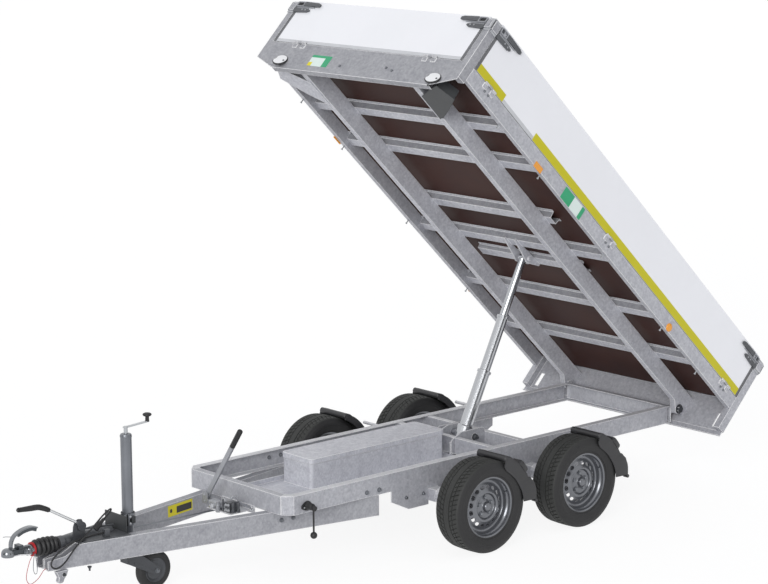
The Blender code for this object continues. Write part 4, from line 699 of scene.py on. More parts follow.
# boards: hollow aluminium panels, each with its end strips and hinge knuckles
board = {"thick": 0.028, "low": 0.1682, "high": 0.4706, "skin": 0.0007, "foot": 0.0215, "lip": 0.0060,
         "endWide": 0.0195, "endHigh": 0.452, "hinge": (0.008, 0.1676, 0.006, 0.0337),
         "stripe": ((-0.009, 2.447), (2.768, 3.030)), "stripeHigh": (0.1702, 0.2175)}
boardKinds = {}  # name: body, node, turn onto its face (along, up, out), two ends, middles of its hinges
for name, side in sides:
    boardKinds["side_" + name] = (name + "_board", "side_board_" + name,
                                  bedMatrix @ Matrix(((0, 0, side, side * bed["half"]), (-1, 0, 0, 0),
                                                      (0, 1, 0, 0), (0, 0, 0, 1))), -0.009, 3.049,
                                  (2.89, 1.56, 0.14))
boardKinds["front"] = ("front_board", "front_board", bedMatrix @ frontways(0, -bed["front"], 0), -0.782,
                       0.782, (0.54, -0.54))
boardKinds["tail"] = ("tailgate", "tailgate", bedMatrix @ Matrix(
    ((1, 0, 0, 0), (0, 0, 1, -bed["rear"]), (0, 1, 0, 0), (0, 0, 0, 1))), -0.782, 0.782, (0.54, -0.54))


def boardSection():  # out and up: the foot's two ribs, the panel between its skins, the lip at the top
    low, high, skin, thick = board["low"], board["high"], board["skin"], board["thick"]
    half = [(0, low), (0, low + 0.0060), (-skin, low + 0.0068), (-skin, low + 0.0096), (0, low + 0.0104),
            (0, low + board["foot"]), (-skin, low + board["foot"] + 0.0008),
            (-skin, high - board["lip"] - 0.0008), (0, high - board["lip"]), (0, high - 0.0014),
            (-0.0014, high)]
    return half + [(-thick - out, up) for out, up in reversed(half)]


def boardShape(start, end):  # its foot takes the second finish
    section = boardSection()
    shape = bmesh.new()
    rings = [[shape.verts.new((along, up, out)) for out, up in section] for along in (start, end)]
    shape.faces.new(rings[0])
    shape.faces.new(rings[1][::-1])
    for k in range(len(section)):
        after = (k + 1) % len(section)
        face = shape.faces.new((rings[0][k], rings[0][after], rings[1][after], rings[1][k]))
        middle = (section[k][1] + section[after][1]) / 2
        face.material_index = 1 if middle < board["low"] + board["foot"] + 0.001 else 0
    return shape


# the board's part of a hinge: a barrel with its pin's ends, on a short folded leaf
def boardKnuckle(middle):
    out, up, radius, long = board["hinge"]
    start, end = middle - long / 2, middle + long / 2
    barrel = bar((start, up, out), (end, up, out), radius, 20, 0.0012)
    leaf = sheetOf(((start, up), (end, up), (end, up + 0.0085), (end - 0.003, up + 0.0115),
                    (start + 0.003, up + 0.0115), (start, up + 0.0085)), 0.0052,
                   Matrix.Translation((0, 0, -0.0006)))
    return joined(barrel, leaf)


def endStrips(start, end):  # an edge strip at each end of the board, with its rivets
    low, high, wide = board["low"] + 0.0012, board["endHigh"], board["endWide"]
    strips = []
    for edge, way in ((start, 1), (end, -1)):
        strips.append(slab((edge, low, -0.0006), (edge + way * wide, high, 0.0012)))
        strips.append(slab((edge, low, 0.0010), (edge + way * 0.0045, high, 0.0026)))
        strips += [spun(((0, 0), (0.0032, 0), (0.0028, 0.0012), (0, 0.0016)),
                        (edge + way * 0.0125, at, 0.0012), (0, 0, 1), 12) for at in (0.215, 0.310, 0.372)]
    return joined(*strips)


for key, (body, node, turn, start, end, middles) in boardKinds.items():
    panel = addPiece("panel_" + key, moved(boardShape(start, end), turn), [whiteBoard, boardProfile], body,
                     30)
    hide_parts(node)
    addPiece("knuckles_" + key, moved(joined(*[boardKnuckle(middle) for middle in middles]), turn),
             knuckleGrey, body, 35, 0.0005)
    addPiece("endStrips_" + key, moved(endStrips(start, end), turn), sealGrey, body, 35, 0.0004)
    if key.startswith("side"):
        low, high = board["stripeHigh"]
        strips = [slab((s0, low, -0.0009), (s1, high, 0.0005)) for s0, s1 in board["stripe"]]
        addPiece("stripe_" + key, moved(joined(*strips), turn), stripeYellow, body, 0)
print("made the boards")

# corner latches: on each board a long lever over a lower bar, on each post a bracket that holds them
latch = {"long": 0.2000, "top": 0.4575, "proud": 0.0138, "eye": (0.032, 0.0185), "eyeInside": (0.76, 0.66)}


def latchLever(window):  # along the board from its end, up, proud of its face; a side board's has a window
    long, top, proud = latch["long"], latch["top"], latch["proud"]
    hand = ((0.062, top - 0.003), (0.070, top), (long * 0.90, top - 0.004), (long, top - 0.010),
            (long, top - 0.026), (long * 0.94, top - 0.029), (0.066, top - 0.031), (0.062, top - 0.028))
    parts = [painted(sheetOf(hand, proud - 0.0048, Matrix.Translation((0, 0, 0.0040))), 0)]
    parts.append(painted(sheetOf(((0.074, top - 0.011), (long * 0.90, top - 0.012),
                                  (long * 0.95, top - 0.017), (long * 0.90, top - 0.021),
                                  (0.074, top - 0.020)), 0.0022,
                                 Matrix.Translation((0, 0, proud - 0.0022))), 0))
    parts.append(painted(slab((0.002, top - 0.0370, 0.0), (long * 0.78, top - 0.0325, 0.0100)), 1))
    frameOut = ((0.000, top - 0.032), (0.006, top - 0.036), (0.058, top - 0.036), (0.064, top - 0.031),
                (0.064, top - 0.006), (0.058, top - 0.001), (0.006, top - 0.001), (0.000, top - 0.005))
    eyeX, eyeDown = latch["eye"]
    shareX, shareY = latch["eyeInside"]
    for outer in zip(frameOut, frameOut[1:] + frameOut[:1]):
        inner = [(eyeX + (x - eyeX) * shareX, top - eyeDown + (y - top + eyeDown) * shareY)
                 for x, y in outer]
        parts.append(painted(sheetOf((*outer, *inner[::-1]), proud - 0.0010), 1))
    if window:
        parts.append(painted(slab((0.030, top - 0.031, 0.0), (0.036, top - 0.006, proud - 0.0030)), 1))
        parts.append(painted(slab((0.006, top - 0.030, 0.0), (0.030, top - 0.008, 0.0030)), 0))
    else:
        parts.append(painted(slab((0.006, top - 0.030, 0.0), (0.058, top - 0.008, 0.0040)), 2))
    lower = ((-0.002, top - 0.072), (0.010, top - 0.076), (long * 0.56, top - 0.070),
             (long * 0.66, top - 0.062), (long * 0.64, top - 0.052), (long * 0.50, top - 0.047),
             (-0.002, top - 0.049))
    parts.append(painted(sheetOf(lower, 0.0105), 0))
    parts.append(painted(sheetOf(((0.010, top - 0.050), (0.112, top - 0.050), (0.104, top - 0.036),
                                  (0.010, top - 0.036)), 0.0055), 1))
    for x, down in ((0.072, 0.058), (0.100, 0.059)):
        parts.append(painted(spun(((0, 0), (0.0058, 0), (0.0050, 0.0028), (0, 0.0032)),
                                  (x, top - down, 0.0105), (0, 0, 1), 14), 1))
    return joined(*parts)


def latchKeeper():  # on the post's face, whose edge towards the board is at 0 and which runs to -0.055
    top = latch["top"]
    parts = [sheetOf(((-0.053, top - 0.079), (-0.006, top - 0.079), (-0.003, top - 0.072),
                      (-0.003, top - 0.004), (-0.010, top), (-0.047, top), (-0.053, top - 0.006)), 0.0042)]
    for x in (-0.050, -0.030, -0.009):
        parts.append(slab((x - 0.0030, top - 0.066, 0.0), (x + 0.0030, top - 0.008, 0.0098)))
    parts.append(slab((-0.051, top - 0.018, 0.0), (-0.008, top - 0.011, 0.0090)))
    parts.append(bar((-0.019, top - 0.060, 0.0050), (-0.019, top - 0.014, 0.0050), 0.0042, 14, 0.0008))
    # painted shade: a thin dark plate on the face stands in for the slot
    slotShade = slab((-0.046, top - 0.062, 0.0040), (-0.034, top - 0.022, 0.0046))
    return joined(*[painted(part, 0) for part in parts], painted(slotShade, 1))


for key, (body, node, turn, start, end, middles) in boardKinds.items():
    for edge, way, mark in ((start, 1, "a"), (end, -1, "b")):
        place = turn @ Matrix.Translation((edge, 0, 0)) @ Matrix.Diagonal((way, 1, 1, 1))
        addPiece("latch_%s_%s" % (key, mark), moved(latchLever(key.startswith("side")), place),
                 [castIron, castPale, signBlack], body, 35, 0.0007)
        addPiece("keeper_%s_%s" % (key, mark), moved(latchKeeper(), place), [boltPale, darkSteel], "bed",
                 35, 0.0007)
print("made the latches")

# small parts on the bed: orange and white markers, blank signs, rope hooks, bolts, welds
marks = {"rectangle": (2.303, 0.092, 0.070, 0.034), "rectangleDeep": (0.829, 0.836),
         "round": (0.792, 0.106, 0.025), "roundFace": 0.8295}
for name, side in sides:
    s, n, long, tall = marks["rectangle"]
    back, front = marks["rectangleDeep"]
    lens = slab((side * back, -(s + long / 2), n - tall / 2), (side * front, -(s - long / 2), n + tall / 2))
    addPiece("markerLens_" + name, moved(lens, bedMatrix), orangeLens, "bed", 35, 0.0018)
    s, n, radius = marks["round"]
    lens = spun(((0, 0), (radius, 0), (radius, 0.003), (radius * 0.9, 0.006), (radius * 0.5, 0.0075),
                 (0, 0.008)), (side * marks["roundFace"], -s, n), (side, 0, 0), 28)
    addPiece("roundMarker_" + name, moved(lens, bedMatrix), orangeLens, "bed", 40)
frontMarker = {"far": (-0.596, 0.028), "near": (0.674, 0.021), "radius": 0.046, "proud": 0.012,
               "lean": (-20, 10)}
for name in ("far", "near"):
    x, n = frontMarker[name]
    r = frontMarker["radius"]
    centre, up = (0, 0, 0), (0, 0, 1)
    rubber = spun(((0, 0), (r, 0), (r, 0.0045), (r * 0.93, 0.0070), (r * 0.86, 0.0072)), centre, up, 40)
    lens = spun(((r * 0.90, 0.0040), (r * 0.88, 0.0080), (r * 0.5, 0.0100), (0, 0.0105)), centre, up, 40)
    latchBar = slab((-r * 0.80, -0.010, 0.007), (-r * 0.70, 0.012, 0.0092))
    stud = spun(((0, 0.008), (0.0058, 0.008), (0.0050, 0.0118), (0, 0.0125)), (r * 0.62, -0.002, 0), up, 14)
    leanX, leanY = (math.radians(degrees) for degrees in frontMarker["lean"])
    face = bedMatrix @ frontways(x, -bed["front"] - frontMarker["proud"], n)
    turn = face @ Matrix.Rotation(leanX, 4, "X") @ Matrix.Rotation(leanY, 4, "Y")
    addPiece("marker_" + name, moved(joined(painted(rubber, 1), painted(lens, 0), painted(latchBar, 2),
                                            painted(stud, 2)), turn), [whiteLens, softBlack, darkSteel],
             "bed", 40)
wire = [(0.655, -3.1135, -0.010), (0.655, -3.1150, -0.016), (0.656, -3.1100, -0.022),
        (0.657, -3.0900, 0.010), (0.658, -3.0750, 0.022)]
addPiece("markerWire", moved(tube(smoothLine(wire, 0.004), 0.0022, 8), bedMatrix), softBlack, "bed",
         60)


def signOn(name, basis, panels, body):  # blank fields: an outline, the number of its finish and its lift
    parts = [painted(sheetOf(outline, 0.0008, Matrix.Translation((0, 0, lift))), index)
             for outline, index, lift in panels]
    return addPiece(name, moved(joined(*parts), basis), [signPale, signGreen, signYellow, signBlack], body,
                    0)


def field(x0, y0, x1, y1):
    return ((x0, y0), (x1, y0), (x1, y1), (x0, y1))


railSign = bedMatrix @ Matrix(((0, 0, 1, 0.8301), (-1, 0, 0, -1.843), (0, 1, 0, 0.0835), (0, 0, 0, 1)))
signOn("railSign", railSign, ((field(0, 0, 0.211, 0.074), 0, 0), (field(0.116, 0, 0.211, 0.074), 1, 0.0006),
                              (field(0, 0, 0.028, 0.074), 1, 0.0006)), "bed")
frontSign = bedMatrix @ frontways(-0.372, -3.1101, 0.022)
signOn("frontSign", frontSign, ((field(0, 0, 0.165, 0.076), 0, 0),
                                (field(0.118, 0, 0.165, 0.076), 1, 0.0006),
                                (field(0, 0, 0.030, 0.026), 2, 0.0006),
                                (field(0.0, 0.060, 0.118, 0.076), 1, 0.0006)), "bed")


def ropeHook(side, s):  # a short pin with a wide foot, hanging under the side rail
    profile = ((0, 0), (0.0058, 0), (0.0062, 0.002), (0.0058, 0.005), (0.0034, 0.007), (0.0034, 0.030),
               (0, 0.030))
    return spun(profile, (side * 0.8145, -s, 0.0535), (0, 0, 1), 16)


for name, side in sides:
    hooks = joined(*[ropeHook(side, s) for s in (2.685, 2.250, 1.530, 0.830, 0.390)])
    addPiece("ropeHooks_" + name, moved(hooks, bedMatrix), brightZinc, "bed", 45)

bedBolts = []
for side in (1, -1):
    for s in (2.585, 2.245, 1.425, 0.875, 0.405):
        for off in (-0.044, 0.044):
            bedBolts.append(bolt((side * 0.770, -(s + off), 0.1578), (0, 0, -1), 0.013))
    for s in (2.89, 1.56, 0.14):
        for off in (-0.018, 0.018):
            bedBolts.append(bolt((side * 0.830, -(s + off), 0.128), (side, 0, 0), 0.011))
bedBolts += [bolt((x, -bed["front"], n), (0, -1, 0), 0.012) for x, n in
             ((-0.104, 0.042), (0.262, 0.064), (0.318, 0.050))]
addPiece("bedBolts", moved(joined(*bedBolts), bedMatrix), boltSteel, "bed", 35)


def weld(start, end, radius=0.0032):  # a weld bead: a low string of small ripples
    start, end = Vector(start), Vector(end)
    count = max(1, round((end - start).length / 0.004))
    sizes = [radius * (0.86 + 0.14 * math.cos(k * 2.1)) for k in range(count + 1)]
    sizes[0] = sizes[-1] = radius * 0.4
    return tube([start.lerp(end, k / count) for k in range(count + 1)], sizes, 6)


welds = []
for s in (2.585, 2.245, 1.735, 1.425, 0.875, 0.405):
    for side in (1, -1):
        for x in (0.4455, 0.4855):
            welds.append(weld((side * x, -(s + 0.034), 0.1175), (side * x, -(s - 0.034), 0.1175)))
addPiece("bedWelds", moved(joined(*welds), bedMatrix), steelBed, "bed", 60)
print("made the small parts of the bed")

# mudguards: moulded skins with a rolled front lip, a raised box and a foot at the rear
guard = {"inner": 0.560, "outer": 0.792, "sheet": 0.004, "round": 0.013, "step": 1.6, "tyre": 0.2625,
         "line": ((69, 0.0180, -0.0120), (67, 0.0375, -0.0300), (62, 0.0400, -0.0410),
                  (58, 0.0375, -0.0430), (50, 0.0405, -0.0440), (34, 0.0430, -0.0410),
                  (26, 0.0450, -0.0375), (21, 0.0620, -0.0345), (15, 0.0780, -0.0300),
                  (7, 0.0850, -0.0260), (2, 0.0840, -0.0230), (-1.5, 0.0830, -0.0210)),
         "innerEdge": -0.004, "box": (0.706, 0.7935, 31.0, 46.5, 0.296, 0.3275),
         "roll": (67.6, 0.2815, 0.0175), "foot": (-3.0, 0.3400, 0.0105), "studs": (27, 0.600, 0.648)}


def guardRadii(angle):  # skin and edge over the tread at an angle, eased between the stations
    for (a, skinA, edgeA), (b, skinB, edgeB) in zip(guard["line"], guard["line"][1:]):
        if b <= angle <= a:
            share = (a - angle) / (a - b)
            share = share * share * (3 - 2 * share)
            return tuple(guard["tyre"] + first + (second - first) * share
                         for first, second in ((skinA, skinB), (edgeA, edgeB)))
    return guard["tyre"] + guard["line"][-1][1], guard["tyre"] + guard["line"][-1][2]


# from the inner edge over the skin with its two swages to the outer edge
def guardSection(skin, edge, inset):
    low, high = guard["inner"] + inset, guard["outer"] - inset
    top, r = skin - inset, guard["round"] - inset * 0.6
    turns = [math.radians(k) for k in (0, 30, 60, 90)]
    third, sunk = (high - low) * 0.20, top - 0.0016
    line = [(low, guard["tyre"] + guard["innerEdge"])]
    line += [(low + r - r * math.cos(a), top - r + r * math.sin(a)) for a in turns]
    line += [(low + third - 0.006, top), (low + third, sunk), (low + third + 0.008, sunk),
             (low + third + 0.014, top)]
    line += [(high - third - 0.014, top), (high - third - 0.008, sunk), (high - third, sunk),
             (high - third + 0.006, top)]
    line += [(high - r + r * math.sin(a), top - r + r * math.cos(a)) for a in turns]
    return line + [(high, edge)]


def mudguard(side, y):
    first, last = guard["line"][0][0], guard["line"][-1][0]
    steps = round((first - last) / guard["step"])
    angles = [last + (first - last) * k / steps for k in range(steps + 1)]

    def at(x, angle, radius):  # a place round the wheel, the angle counted up from straight behind it
        return (side * x, y + radius * math.cos(math.radians(angle)),
                hub["z"] + radius * math.sin(math.radians(angle)))

    shape = bmesh.new()
    rings = []
    for angle in angles:
        skin, edge = guardRadii(angle)
        loop = guardSection(skin, edge, 0) + guardSection(skin, edge, guard["sheet"])[::-1]
        rings.append([shape.verts.new(at(x, angle, r)) for x, r in loop])
    for a, b in zip(rings, rings[1:]):
        stitch(shape, a, b)
    half = len(rings[0]) // 2
    for ring in (rings[0], rings[-1]):
        for k in range(half - 1):
            shape.faces.new((ring[k], ring[k + 1], ring[-k - 2], ring[-k - 1]))
    angle, radius, thick = guard["roll"]
    roll = bar(at(guard["inner"] + 0.001, angle, radius), at(guard["outer"] - 0.001, angle, radius), thick,
               24, 0.005)
    angle, radius, thick = guard["foot"]
    foot = bar(at(guard["outer"] - 0.036, angle, radius), at(guard["outer"] + 0.0012, angle, radius),
               thick, 18, 0.003)
    bead = tube([at(guard["outer"] - 0.0028, angle, guardRadii(angle)[1]) for angle in angles], 0.0028, 8)
    angle, *places = guard["studs"]
    out = (0, math.cos(math.radians(angle)), math.sin(math.radians(angle)))
    studs = [bolt(at(x, angle, guardRadii(angle)[0] - 0.0006), out, 0.013) for x in places]
    return joined(shape, roll, foot, bead, *studs)


def guardBox(side, y):  # the raised box on the skin's outer part, tapered towards its top
    x0, x1, a0, a1, low, high = guard["box"]
    loops = []
    for radius, shrink in ((low, 0.0), (high - 0.006, 0.004), (high - 0.0015, 0.0065), (high, 0.0105)):
        loop = []
        for k in range(24):
            turn = 2 * math.pi * k / 24
            c, s = (math.copysign(abs(v) ** 0.28, v) for v in (math.cos(turn), math.sin(turn)))
            angle = math.radians((a0 + a1) / 2 + s * ((a1 - a0) / 2 - math.degrees(shrink / radius)))
            x = (x0 + x1) / 2 + c * ((x1 - x0) / 2 - shrink)
            loop.append(Vector((side * x, y + radius * math.cos(angle),
                                hub["z"] + radius * math.sin(angle))))
        loops.append(loop)
    return lofted(loops)


for axle, name, side, y in wheelPlaces:
    piece = addPiece("mudguard_%s_%s" % (axle, name), mudguard(side, y), mouldedBlack, "chassis",
                     40)
    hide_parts("fender_%s_%s" % (axle, name))
    addPiece("guardBox_%s_%s" % (axle, name), guardBox(side, y), mouldedBlack, "chassis", 50)
print("made the mudguards")

# drawbar head: coupling and its handle, gaiter, hand brake, the breakaway cable's guide, a bracket below
head = {"ballY": -2.654, "cupZ": (0.3625, 0.4040), "shaftZ": 0.372, "gaiter": (-2.4997, -2.3573),
        "folds": 5, "brakeX": 0.041, "brakeShift": (0, -0.026, 0.031), "guideY": -2.5145}


def pillow(y, halfX, low, high, power=0.55, steps=20):  # a rounded box outline standing across the drawbar
    points = []
    for k in range(steps):
        angle = 2 * math.pi * k / steps
        c, s = math.cos(angle), math.sin(angle)
        points.append(onChassis(halfX * math.copysign(abs(c) ** power, c), y,
                                (low + high) / 2 + (high - low) / 2 * math.copysign(abs(s) ** power, s)))
    return points


def couplingHead():  # the ball's cup, the neck behind it, the shaft through the gaiter
    low, high = head["cupZ"]
    z = head["shaftZ"]
    cup = spun(((0, 0), (0.033, 0), (0.0348, 0.002), (0.0352, 0.010), (0.0345, 0.018), (0.0325, 0.0260),
                (0.0275, 0.0345), (0.0190, 0.0398), (0.0090, high - low), (0, high - low)),
               onChassis(0, head["ballY"], low), (0, 0, 1), 32)
    neck = lofted([pillow(-2.640, 0.0290, low + 0.002, high - 0.004),
                   pillow(-2.610, 0.0270, low, high - 0.008), pillow(-2.575, 0.0235, z - 0.018, z + 0.024),
                   pillow(-2.545, 0.0230, z - 0.021, z + 0.025),
                   pillow(-2.532, 0.0250, z - 0.023, z + 0.026)])
    shaft = bar(onChassis(0, -2.545, z), onChassis(0, -2.4995, z), 0.0275, 28, 0.002)
    stem = bar(onChassis(0, -2.500, z), onChassis(0, -2.3555, z), 0.0208, 24, 0.002)
    lips = [tube([onChassis(side * 0.0280, y, low + 0.0035 + lift) for y, lift in
                  ((-2.650, 0.0), (-2.600, 0.001), (-2.560, -0.006), (-2.535, -0.009))[::side]], 0.0036, 8)
            for side in (1, -1)]
    bolts = [bolt(onChassis(side * 0.0225, y, z + up), (side, 0, 0), 0.019, True, 0.004) for side in (1, -1)
             for y, up in ((-2.560, 0.002), (-2.522, 0.004))]
    block = slab(onChassis(-0.0225, -2.600, z + 0.0205), onChassis(0.0225, -2.574, z + 0.0400))
    return joined(*[painted(part, 0) for part in (cup, shaft, stem)], *[painted(part, 1) for part in bolts],
                  *[painted(part, 2) for part in (neck, block)], *[painted(part, 3) for part in lips])


def couplingHandle():  # an arched channel of sheet steel over a dark moulded palm piece
    arch = ((-2.640, 0.022), (-2.637, 0.060), (-2.616, 0.094), (-2.570, 0.117), (-2.515, 0.124),
            (-2.478, 0.114))
    line = smoothLine([(0, y, head["shaftZ"] + up) for y, up in arch], 0.008)
    parts = []
    for halfX, lift, depth, index in ((0.0140, 0.0, 0.0045, 0), (0.0100, -0.0045, 0.0200, 1)):
        some = line if index == 0 else line[round(len(line) * 0.42):]
        loops = []
        for k, point in enumerate(some):
            way = (some[min(k + 1, len(some) - 1)] - some[max(k - 1, 0)]).normalized()
            up = Vector((0, -way.z, way.y))
            corners = ((halfX, lift), (-halfX, lift), (-halfX, lift - depth), (halfX, lift - depth))
            loops.append([onChassis(*(point + Vector((x, 0, 0)) + up * high)) for x, high in corners])
        parts.append(painted(lofted(loops), index))
    for side in (1, -1):
        rim = []
        for k, point in enumerate(line):
            way = (line[min(k + 1, len(line) - 1)] - line[max(k - 1, 0)]).normalized()
            rim.append(onChassis(*(point + Vector((side * 0.0140, 0, 0))
                                   + Vector((0, -way.z, way.y)) * -0.0040)))
        parts.append(painted(tube(rim, 0.0030, 8), 0))
    pin = tube([onChassis(0.012, -2.6875, 0.4725), onChassis(0.012, -2.672, 0.4720),
                onChassis(0.012, -2.640, 0.4650)], 0.0016, 8)
    return joined(*parts, painted(pin, 0))


def gaiter():  # soft folds, fuller towards the housing
    low, high = head["gaiter"]
    folds, steps = head["folds"], 8
    profile = [(0.0213, 0), (0.0310, 0), (0.0345, 0.001)]
    for fold in range(folds):
        peak = 0.0415 + 0.0072 * math.sin(math.pi * (fold + 1.0) / (folds + 0.6))
        for k in range(1, steps + 1):
            share = (fold + k / steps) / folds
            swell = math.sin(math.pi * k / steps) ** 0.8
            profile.append((0.0335 + (peak - 0.0335) * swell, 0.002 + share * (high - low - 0.012)))
    profile += [(0.0365, high - low - 0.009), (0.0365, high - low), (0.0213, high - low), (0.0213, 0)]
    return spun(profile, onChassis(0, low, head["shaftZ"]), (0, 1, 0), 36)


def handBrake():  # ear, hub and toothed sector, the lever with its moulded grip, the rod to the rear
    x = head["brakeX"]
    ear = sheetOf(((-2.262, 0.3453), (-2.178, 0.3453), (-2.186, 0.4180), (-2.202, 0.4520), (-2.222, 0.4560),
                   (-2.242, 0.4500), (-2.254, 0.4200)), 0.006, sideways(x - 0.003, axleY, 0))
    boss = bar(onChassis(x - 0.010, -2.222, 0.435), onChassis(x + 0.016, -2.222, 0.435), 0.0165, 24, 0.002)
    teeth = bar(onChassis(x + 0.003, -2.205, 0.415), onChassis(x + 0.012, -2.205, 0.415), 0.026, 10, 0.002)
    lever = tube([onChassis(x, y, z) for y, z in ((-2.222, 0.435), (-2.396, 0.537), (-2.415, 0.546))],
                 0.0078, 14)
    held = ((-2.398, 0.538), (-2.430, 0.5535), (-2.466, 0.5665), (-2.520, 0.5700), (-2.585, 0.5745))
    grip = smoothLine([onChassis(x, y, z) for y, z in held], 0.006)
    sizes = [0.0122 + 0.0026 * math.sin(math.pi * min(1, k / len(grip) * 1.15)) + (0.0006 if k % 2 else 0)
             for k in range(len(grip))]
    sizes[0], sizes[-1] = 0.0105, 0.0120
    handle = tube(grip, sizes, 18)
    button = bar(onChassis(x, -2.584, 0.5744), onChassis(x, -2.592, 0.5749), 0.0100, 16, 0.0030)
    rodLow = tube([onChassis(x + 0.002, y, z)
                   for y, z in ((-2.205, 0.402), (-2.120, 0.392), (-2.000, 0.386))], 0.0048, 10)
    whole = joined(*[painted(part, 0) for part in (ear, boss, teeth, rodLow)], painted(lever, 1),
                   *[painted(part, 2) for part in (handle, button)])
    return moved(whole, Matrix.Translation(head["brakeShift"]))


piece = addPiece("couplingHead", couplingHead(), [darkChrome, boltSteel, deepChrome, leverZinc], "chassis",
                 40)
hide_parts("coupling_head")
addPiece("couplingHandle", couplingHandle(), [darkChrome, deepChrome], "chassis", 40)
piece = addPiece("gaiter", gaiter(), softBlack, "chassis", 40)
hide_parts("bellows")
piece = addPiece("handBrake", handBrake(), [darkSteel, leverZinc, softBlack], "chassis", 40)
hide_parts("handbrake")
ring = spun(((0.0285, 0), (0.0360, 0), (0.0375, 0.002), (0.0375, 0.009), (0.0360, 0.011), (0.0285, 0.011),
             (0.0285, 0)), onChassis(0, head["guideY"], head["shaftZ"]), (0, 1, 0), 32)
eye = tube(smoothLine([onChassis(0.0308 + 0.004 * math.sin(a), -2.520, 0.364 + 0.010 * math.cos(a))
                       for a in (math.radians(k) for k in range(-150, 151, 30))], 0.003), 0.0018, 8)
clip = [(0.0335, -2.515, 0.358), (0.0345, -2.524, 0.320), (0.0350, -2.527, 0.275), (0.0345, -2.518, 0.250),
        (0.0340, -2.506, 0.254), (0.0338, -2.503, 0.285), (0.0335, -2.508, 0.325), (0.0330, -2.513, 0.357)]
clipWire = tube(smoothLine([onChassis(*point) for point in clip], 0.004), 0.0017, 8)
addPiece("pullGuide", joined(painted(ring, 0), painted(eye, 0), painted(clipWire, 1)),
         [redCord, boltSteel], "chassis", 40)
legShape = ((-2.425, 0.2515), (-2.352, 0.2515), (-2.362, 0.2250), (-2.378, 0.2060), (-2.384, 0.1930),
            (-2.392, 0.1880), (-2.408, 0.1880), (-2.415, 0.1960), (-2.409, 0.2180))
leg = sheetOf(legShape, 0.026, sideways(0.066, axleY, 0))
legBolts = [bolt(onChassis(0.092, -2.380, 0.2300), (1, 0, 0), 0.015, True, 0.008),
            bolt(onChassis(0.119, -2.240, 0.2515), (0, 0, -1), 0.017, True, 0.014)]
addPiece("cableLeg", joined(painted(leg, 0), *[painted(part, 1) for part in legBolts]),
         [steelArmShaded, darkSteel], "chassis", 35, 0.0015)
print("made the drawbar's head")

# jockey: tube with its crank, clamp flanges, fork cheeks, wheel
jockey = {"y": -1.905, "top": 0.870, "radius": 0.030, "reach": 0.140, "clamp": (0.385, 0.450),
          "flangeWay": -38, "trail": 0.155, "wheel": 0.105, "wheelHalf": 0.0275, "cheek": 0.0335,
          "forkTop": 0.222}


def jockeyTube():  # the outer tube with its collar, the crank's shaft, arm and knob
    y, top, r = jockey["y"], jockey["top"], jockey["radius"]
    outer = spun(((0, 0), (r - 0.0034, 0), (r - 0.0034, 0.004), (r - 0.003, 0.004), (r - 0.003, 0), (r, 0),
                  (r, top - 0.270), (r + 0.0016, top - 0.272), (r + 0.0016, top - 0.2765 + 0.012),
                  (r - 0.002, top - 0.256), (0.014, top - 0.254), (0, top - 0.254)),
                 onChassis(0, y, 0.258), (0, 0, 1), 32)
    shaft = bar(onChassis(0, y, top), onChassis(0, y, top + 0.0425), 0.0105, 20, 0.001)
    arm = lofted([[onChassis(x, y + back, top + up + lift) for x, lift in
                   ((0.0085, 0.0035), (-0.0085, 0.0035), (-0.0085, -0.0035), (0.0085, -0.0035))]
                  for back, up in ((-0.012, 0.0370), (0.02, 0.0380), (0.090, 0.0420), (0.148, 0.0455))])
    knob = spun(((0, 0), (0.0105, 0), (0.0110, 0.004), (0.0100, 0.024), (0.0120, 0.0285), (0.0200, 0.0310),
                 (0.0235, 0.0355), (0.0240, 0.0390), (0.0215, 0.0430), (0.0150, 0.0462), (0.0060, 0.0475),
                 (0, 0.0477)), onChassis(0, y + jockey["reach"], top + 0.0440), (0, 0, 1), 28)
    return joined(painted(outer, 0), painted(shaft, 1), painted(arm, 1), painted(knob, 2))


def clampFlanges():  # two flanges with a black block in the slit between them as painted shade, four bolts
    low, high = jockey["clamp"]
    turn = Matrix.Rotation(math.radians(jockey["flangeWay"]), 4, "Z")
    place = Matrix.Translation(onChassis(0, jockey["y"], 0)) @ turn
    ring = spun(((0.0312, 0), (0.0375, 0), (0.0375, high - low), (0.0312, high - low), (0.0312, 0)),
                (0, 0, low), (0, 0, 1), 36)
    # painted shade: a black block fills the slit between the flanges
    parts = [painted(ring, 0),
             painted(slab((0.034, -0.0035, low + 0.002), (0.047, 0.0035, high - 0.002)), 1)]
    for side in (1, -1):
        parts.append(painted(slab((0.034, side * 0.0035, low), (0.0565, side * 0.0105, high)), 0))
        for z in (low + 0.014, high - 0.014):
            parts.append(painted(bolt((0.0465, side * 0.0105, z), (0, side, 0), 0.014, True, 0.002), 2))
    return moved(joined(*parts), place)


